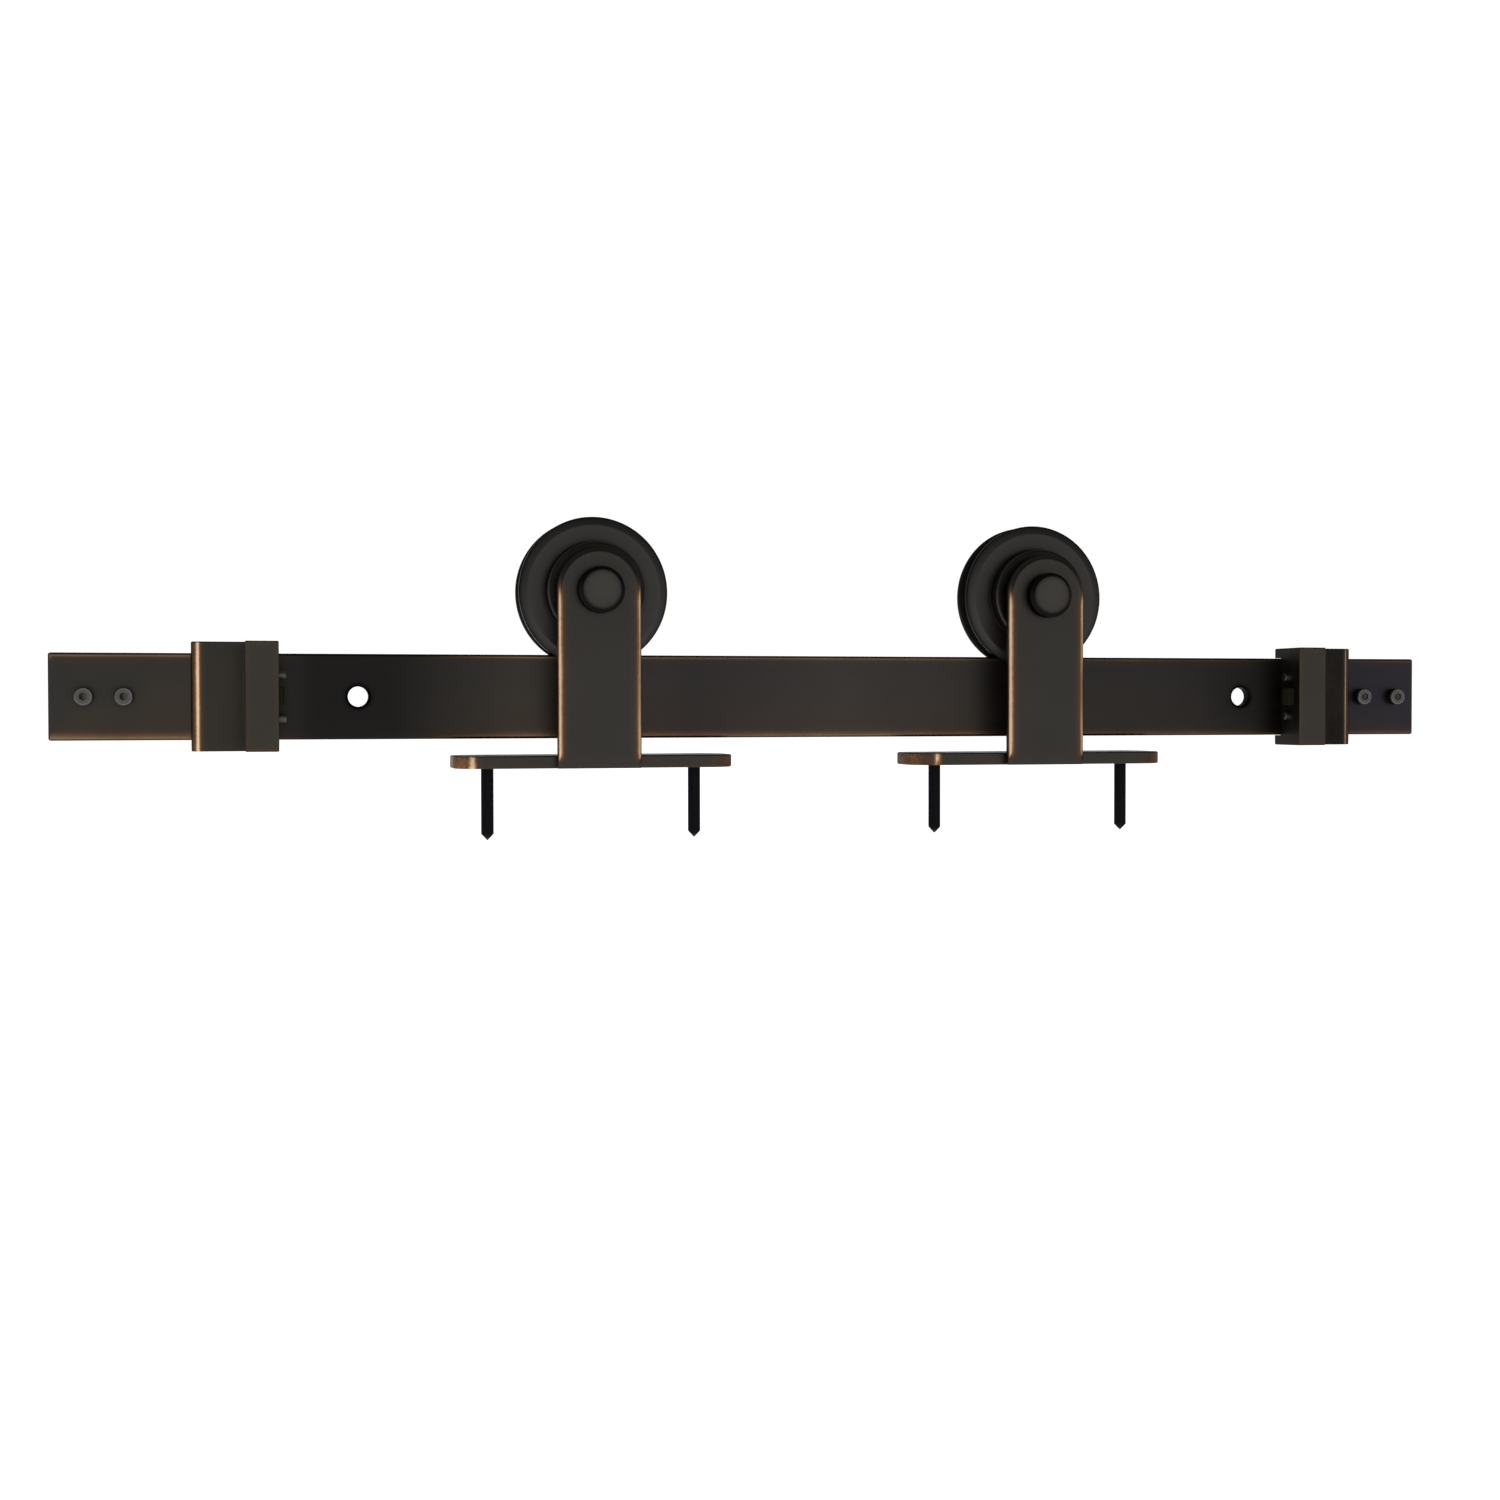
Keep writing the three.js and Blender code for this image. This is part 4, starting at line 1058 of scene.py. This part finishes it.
def build_stop_body(side, outward, recess_shade, line_wear_and_highlight, line_reach):
    node = f"{side}_stop_body"
    low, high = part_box(node)
    inner = low.x if outward > 0 else high.x
    length = high.x - low.x
    plan = [(0, high.y, STOP_BACK_CORNER, CORNER_STEPS), (0, low.y, STOP_EDGE, CORNER_STEPS),
            (STOP_BLOCK_LENGTH, low.y, STOP_EDGE, CORNER_STEPS),
            (STOP_BLOCK_LENGTH, STOP_WALL_FRONT, STOP_RECESS_CORNER, CORNER_STEPS),
            (length, STOP_WALL_FRONT, STOP_OUTER_ROUND, STOP_ROUND_STEPS),
            (length, high.y, STOP_BACK_CORNER, CORNER_STEPS)]
    corners = [(inner + outward * d, y, radius, steps) for d, y, radius, steps in plan]
    if outward < 0:
        corners.reverse()

    def near(u, v, x, y, reach):
        return math.exp(-math.hypot(u - x, v - y) / reach)

    def wear(u, v, wear_and_shade):
        """Worn most beside the outer rounding, where the line is also a painted highlight, with a
        thin worn line on the block's corners; painted shade on the inner side face and in the
        recess in front of the rail."""
        from_inner = outward * (u - inner)
        line_x = inner + outward * (length - STOP_OUTER_ROUND - STOP_LINE)
        line = near(u, v, line_x, STOP_WALL_FRONT, line_reach)
        block = max(near(u, v, inner + outward * d, low.y, STOP_CORNER_REACH)
                    for d in (0, STOP_BLOCK_LENGTH))
        on_side = from_inner < STOP_EDGE and v > low.y + STOP_EDGE
        on_wall = v > STOP_WALL_FRONT - STOP_EDGE and from_inner < length - STOP_OUTER_ROUND
        shade = STOP_SIDE_SHADE if on_side else recess_shade if on_wall else 0
        worn = max(STOP_FACE_WEAR * wear_and_shade, line_wear_and_highlight * line, STOP_FACE_WEAR * block)
        return worn - shade * (1 - line)

    rims = [(outline(corners, FADE_STEPS),
             edge(high.z - low.z, 0, 0, STOP_EDGE, (1, 1, 1), 1.0), wear)]
    body = slab(f"{node}_fine", rims, facing_up(high.z))

    channel_half = RAIL_TOP + STOP_CLEARANCE
    channel = rectangle(RAIL_FRONT - STOP_CLEARANCE, high.y + CUTTER_SPARE,
                        -channel_half, channel_half, 0, 0)
    buffer_low, buffer_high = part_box(f"{side}_stop_buffer")
    pocket = rectangle(buffer_low.y - BUFFER_GAP, buffer_high.y + BUFFER_GAP,
                       buffer_low.z - BUFFER_GAP, buffer_high.z + BUFFER_GAP, 0, 0)
    pocket_start = buffer_low.x - (BUFFER_GAP if outward < 0 else 0)
    cutters = [plug(channel, -CUTTER_SPARE, length + CUTTER_SPARE, facing_left(low.x)),
               plug(pocket, 0.0, buffer_high.x - buffer_low.x + BUFFER_GAP,
                    facing_left(pocket_start))]
    for place in ("lower", "upper"):
        screw_low, screw_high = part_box(f"{side}_stop_face_screw_{place}")
        cutters.append(drill(screw_low, screw_high, "X", outward))
    for number in (1, 2):
        screw_low, screw_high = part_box(f"{side}_stop_set_screw_{number}")
        cutters.append(drill(screw_low, screw_high, "Z", 1))
    stand_for(cut(body, *cutters), node, "stop")


def drill(low, high, axis, outward):
    """A round cutter a little larger than the screw it makes room for."""
    centre = (low + high) / 2
    radius = (high.y - low.y) / 2 + THREAD_GAP
    if axis == "X":
        place = about_x(centre)
        start = low.x - (DRILL_SPARE if outward < 0 else 0)
        end = high.x + (0 if outward < 0 else DRILL_SPARE)
    else:
        place = about_z(centre)
        start, end = low.z - CUTTER_SPARE, high.z + CUTTER_SPARE
    return turned("cutter", [(0, start, 0, 0), (radius, start, 0, 0), (radius, end, 0, 0),
                             (0, end, 0, 0)], place, Vector(), steps=DRILL_STEPS)


def build_stop_screw(node, axis, toward):
    """A small socket screw, with its socket at the low end of the axis, or the high end
    where toward is 1."""
    low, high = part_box(node)
    centre = (low + high) / 2
    radius = (high.y - low.y) / 2
    index = 0 if axis == "X" else 2
    mouth, end = (high[index], low[index]) if toward > 0 else (low[index], high[index])
    place = about_x(centre) if axis == "X" else about_z(centre)
    screw = turned(f"{node}_fine", [
        (0, mouth, 0, 0),
        (radius - SMALL_SCREW_BEVEL, mouth, 0.08 * MM, 0.35),
        (radius, mouth - toward * SMALL_SCREW_BEVEL, 0.08 * MM, 0.1),
        (radius, end, 0, 0),
        (0, end, 0, 0)], place, centre, steps=48)
    socket = hex_cutter(lambda u, v, depth: place(u, v, mouth - toward * depth),
                        SMALL_SOCKET_RADIUS, SMALL_SOCKET_DEPTH)
    stand_for(cut(screw, socket), node, "grey" if axis == "X" else "black")


def build_buffer(side):
    node = f"{side}_stop_buffer"
    low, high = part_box(node)
    corners = rectangle(low.y, high.y, low.z, high.z, BUFFER_CORNER, BUFFER_CORNER_STEPS)
    rim = outline(corners), edge(high.x - low.x, 0, 0, **BUFFER_EDGE), as_given
    stand_for(slab(f"{node}_fine", [rim], facing_left(low.x)), node, "rubber")


# (side, which way its outer end is, painted shade in the recess, wear and painted highlight of the
# outer line, its reach)
STOP_LOOKS = (("left", -1, 0.22, 1.15, 1.1 * MM), ("right", 1, 0.8, 0.95, 0.6 * MM))
for side, outward, recess_shade, line_wear_and_highlight, line_reach in STOP_LOOKS:
    build_stop_body(side, outward, recess_shade, line_wear_and_highlight, line_reach)
    build_buffer(side)
    for place in ("lower", "upper"):
        build_stop_screw(f"{side}_stop_face_screw_{place}", "X", -outward)
    for number in (1, 2):
        build_stop_screw(f"{side}_stop_set_screw_{number}", "Z", -1)


# ---- Stage, light and camera ----

FLOOR_DROP = 0.30
FLOOR_SIZE = 20
FLOOR_GLOW = 0.9
SURROUNDINGS, BACKDROP = 0.35, 1.05  # strength of the light from all round, and of the white


def build_floor():
    bm = bmesh.new()
    bmesh.ops.create_grid(bm, x_segments=8, y_segments=8, size=FLOOR_SIZE)
    floor = finished("floor", bm, Vector())
    floor.location.z = cad_box[0][2] - FLOOR_DROP
    material = bpy.data.materials.new("pale_floor")
    material.use_nodes = True
    shader = material.node_tree.nodes["Principled BSDF"]
    shader.inputs["Base Color"].default_value = (0.9, 0.9, 0.9, 1)
    shader.inputs["Roughness"].default_value = 0.8
    shader.inputs["Emission Color"].default_value = (1, 1, 1, 1)
    shader.inputs["Emission Strength"].default_value = FLOOR_GLOW
    floor.data.materials.append(material)


build_floor()


def softbox(name, location, target, width, height, radiance, glossy=True):
    """A rectangular area light of an even radiance."""
    light = bpy.data.lights.new(name, "AREA")
    light.shape = "RECTANGLE"
    light.size, light.size_y = width, height
    light.energy = radiance * math.pi * width * height
    lamp = bpy.data.objects.new(name, light)
    bpy.context.scene.collection.objects.link(lamp)
    lamp.location = location
    lamp.rotation_euler = (Vector(target) - Vector(location)).to_track_quat("-Z", "Y").to_euler()
    lamp.visible_camera = False
    lamp.visible_glossy = glossy


softbox("front_softbox", (0.35, -1.6, 0.1), (0.35, 0, 0), width=2.8, height=1.3, radiance=1.0)
softbox("left_softbox", (-1.7, -0.2, 0.1), (0, -0.2, 0), width=1.6, height=1.1, radiance=0.9)
softbox("right_softbox", (1.7, 0.1, 0.1), (0, 0.1, 0), width=1.6, height=1.1, radiance=0.7)
softbox("back_softbox", (0, 1.6, 0.1), (0, 0, 0), width=2.6, height=1.1, radiance=0.8)
softbox("floor_light", (0, -0.5, 2.5), (0, -0.5, 0), width=4.0, height=4.0, radiance=1.2,
        glossy=False)


def build_world():
    """White behind the object, and a dimmer grey as light from all round."""
    world = bpy.data.worlds.new("studio")
    bpy.context.scene.world = world
    world.use_nodes = True
    tree = world.node_tree
    surroundings = tree.nodes["Background"]
    surroundings.inputs["Color"].default_value = (1, 1, 1, 1)
    surroundings.inputs["Strength"].default_value = SURROUNDINGS
    backdrop = tree.nodes.new("ShaderNodeBackground")
    backdrop.inputs["Color"].default_value = (1, 1, 1, 1)
    backdrop.inputs["Strength"].default_value = BACKDROP
    mix = tree.nodes.new("ShaderNodeMixShader")
    path = tree.nodes.new("ShaderNodeLightPath")
    link(tree, path.outputs["Is Camera Ray"], mix.inputs["Fac"])
    link(tree, surroundings.outputs[0], mix.inputs[1])
    link(tree, backdrop.outputs[0], mix.inputs[2])
    link(tree, mix.outputs[0], tree.nodes["World Output"].inputs["Surface"])


build_world()
bpy.context.scene.view_settings.view_transform = "Standard"

CAMERA_PLACE = Vector((-0.2632, -0.9807, -0.0059))
CAMERA_YAW, CAMERA_PITCH, CAMERA_ROLL = (math.radians(a) for a in (14.067, -1.157, -0.081))
CAMERA_LENS, CAMERA_SENSOR = 49.14, 36.0


def build_camera():
    camera = bpy.data.cameras.new("camera")
    camera.lens, camera.sensor_width = CAMERA_LENS, CAMERA_SENSOR
    camera.sensor_fit = "HORIZONTAL"
    camera.clip_start = 0.01
    viewer = bpy.data.objects.new("camera", camera)
    bpy.context.scene.collection.objects.link(viewer)
    turn = (Matrix.Rotation(-CAMERA_YAW, 4, "Z")
            @ Matrix.Rotation(math.pi / 2 + CAMERA_PITCH, 4, "X")
            @ Matrix.Rotation(CAMERA_ROLL, 4, "Z"))
    viewer.matrix_world = Matrix.Translation(CAMERA_PLACE) @ turn
    bpy.context.scene.camera = viewer


build_camera()
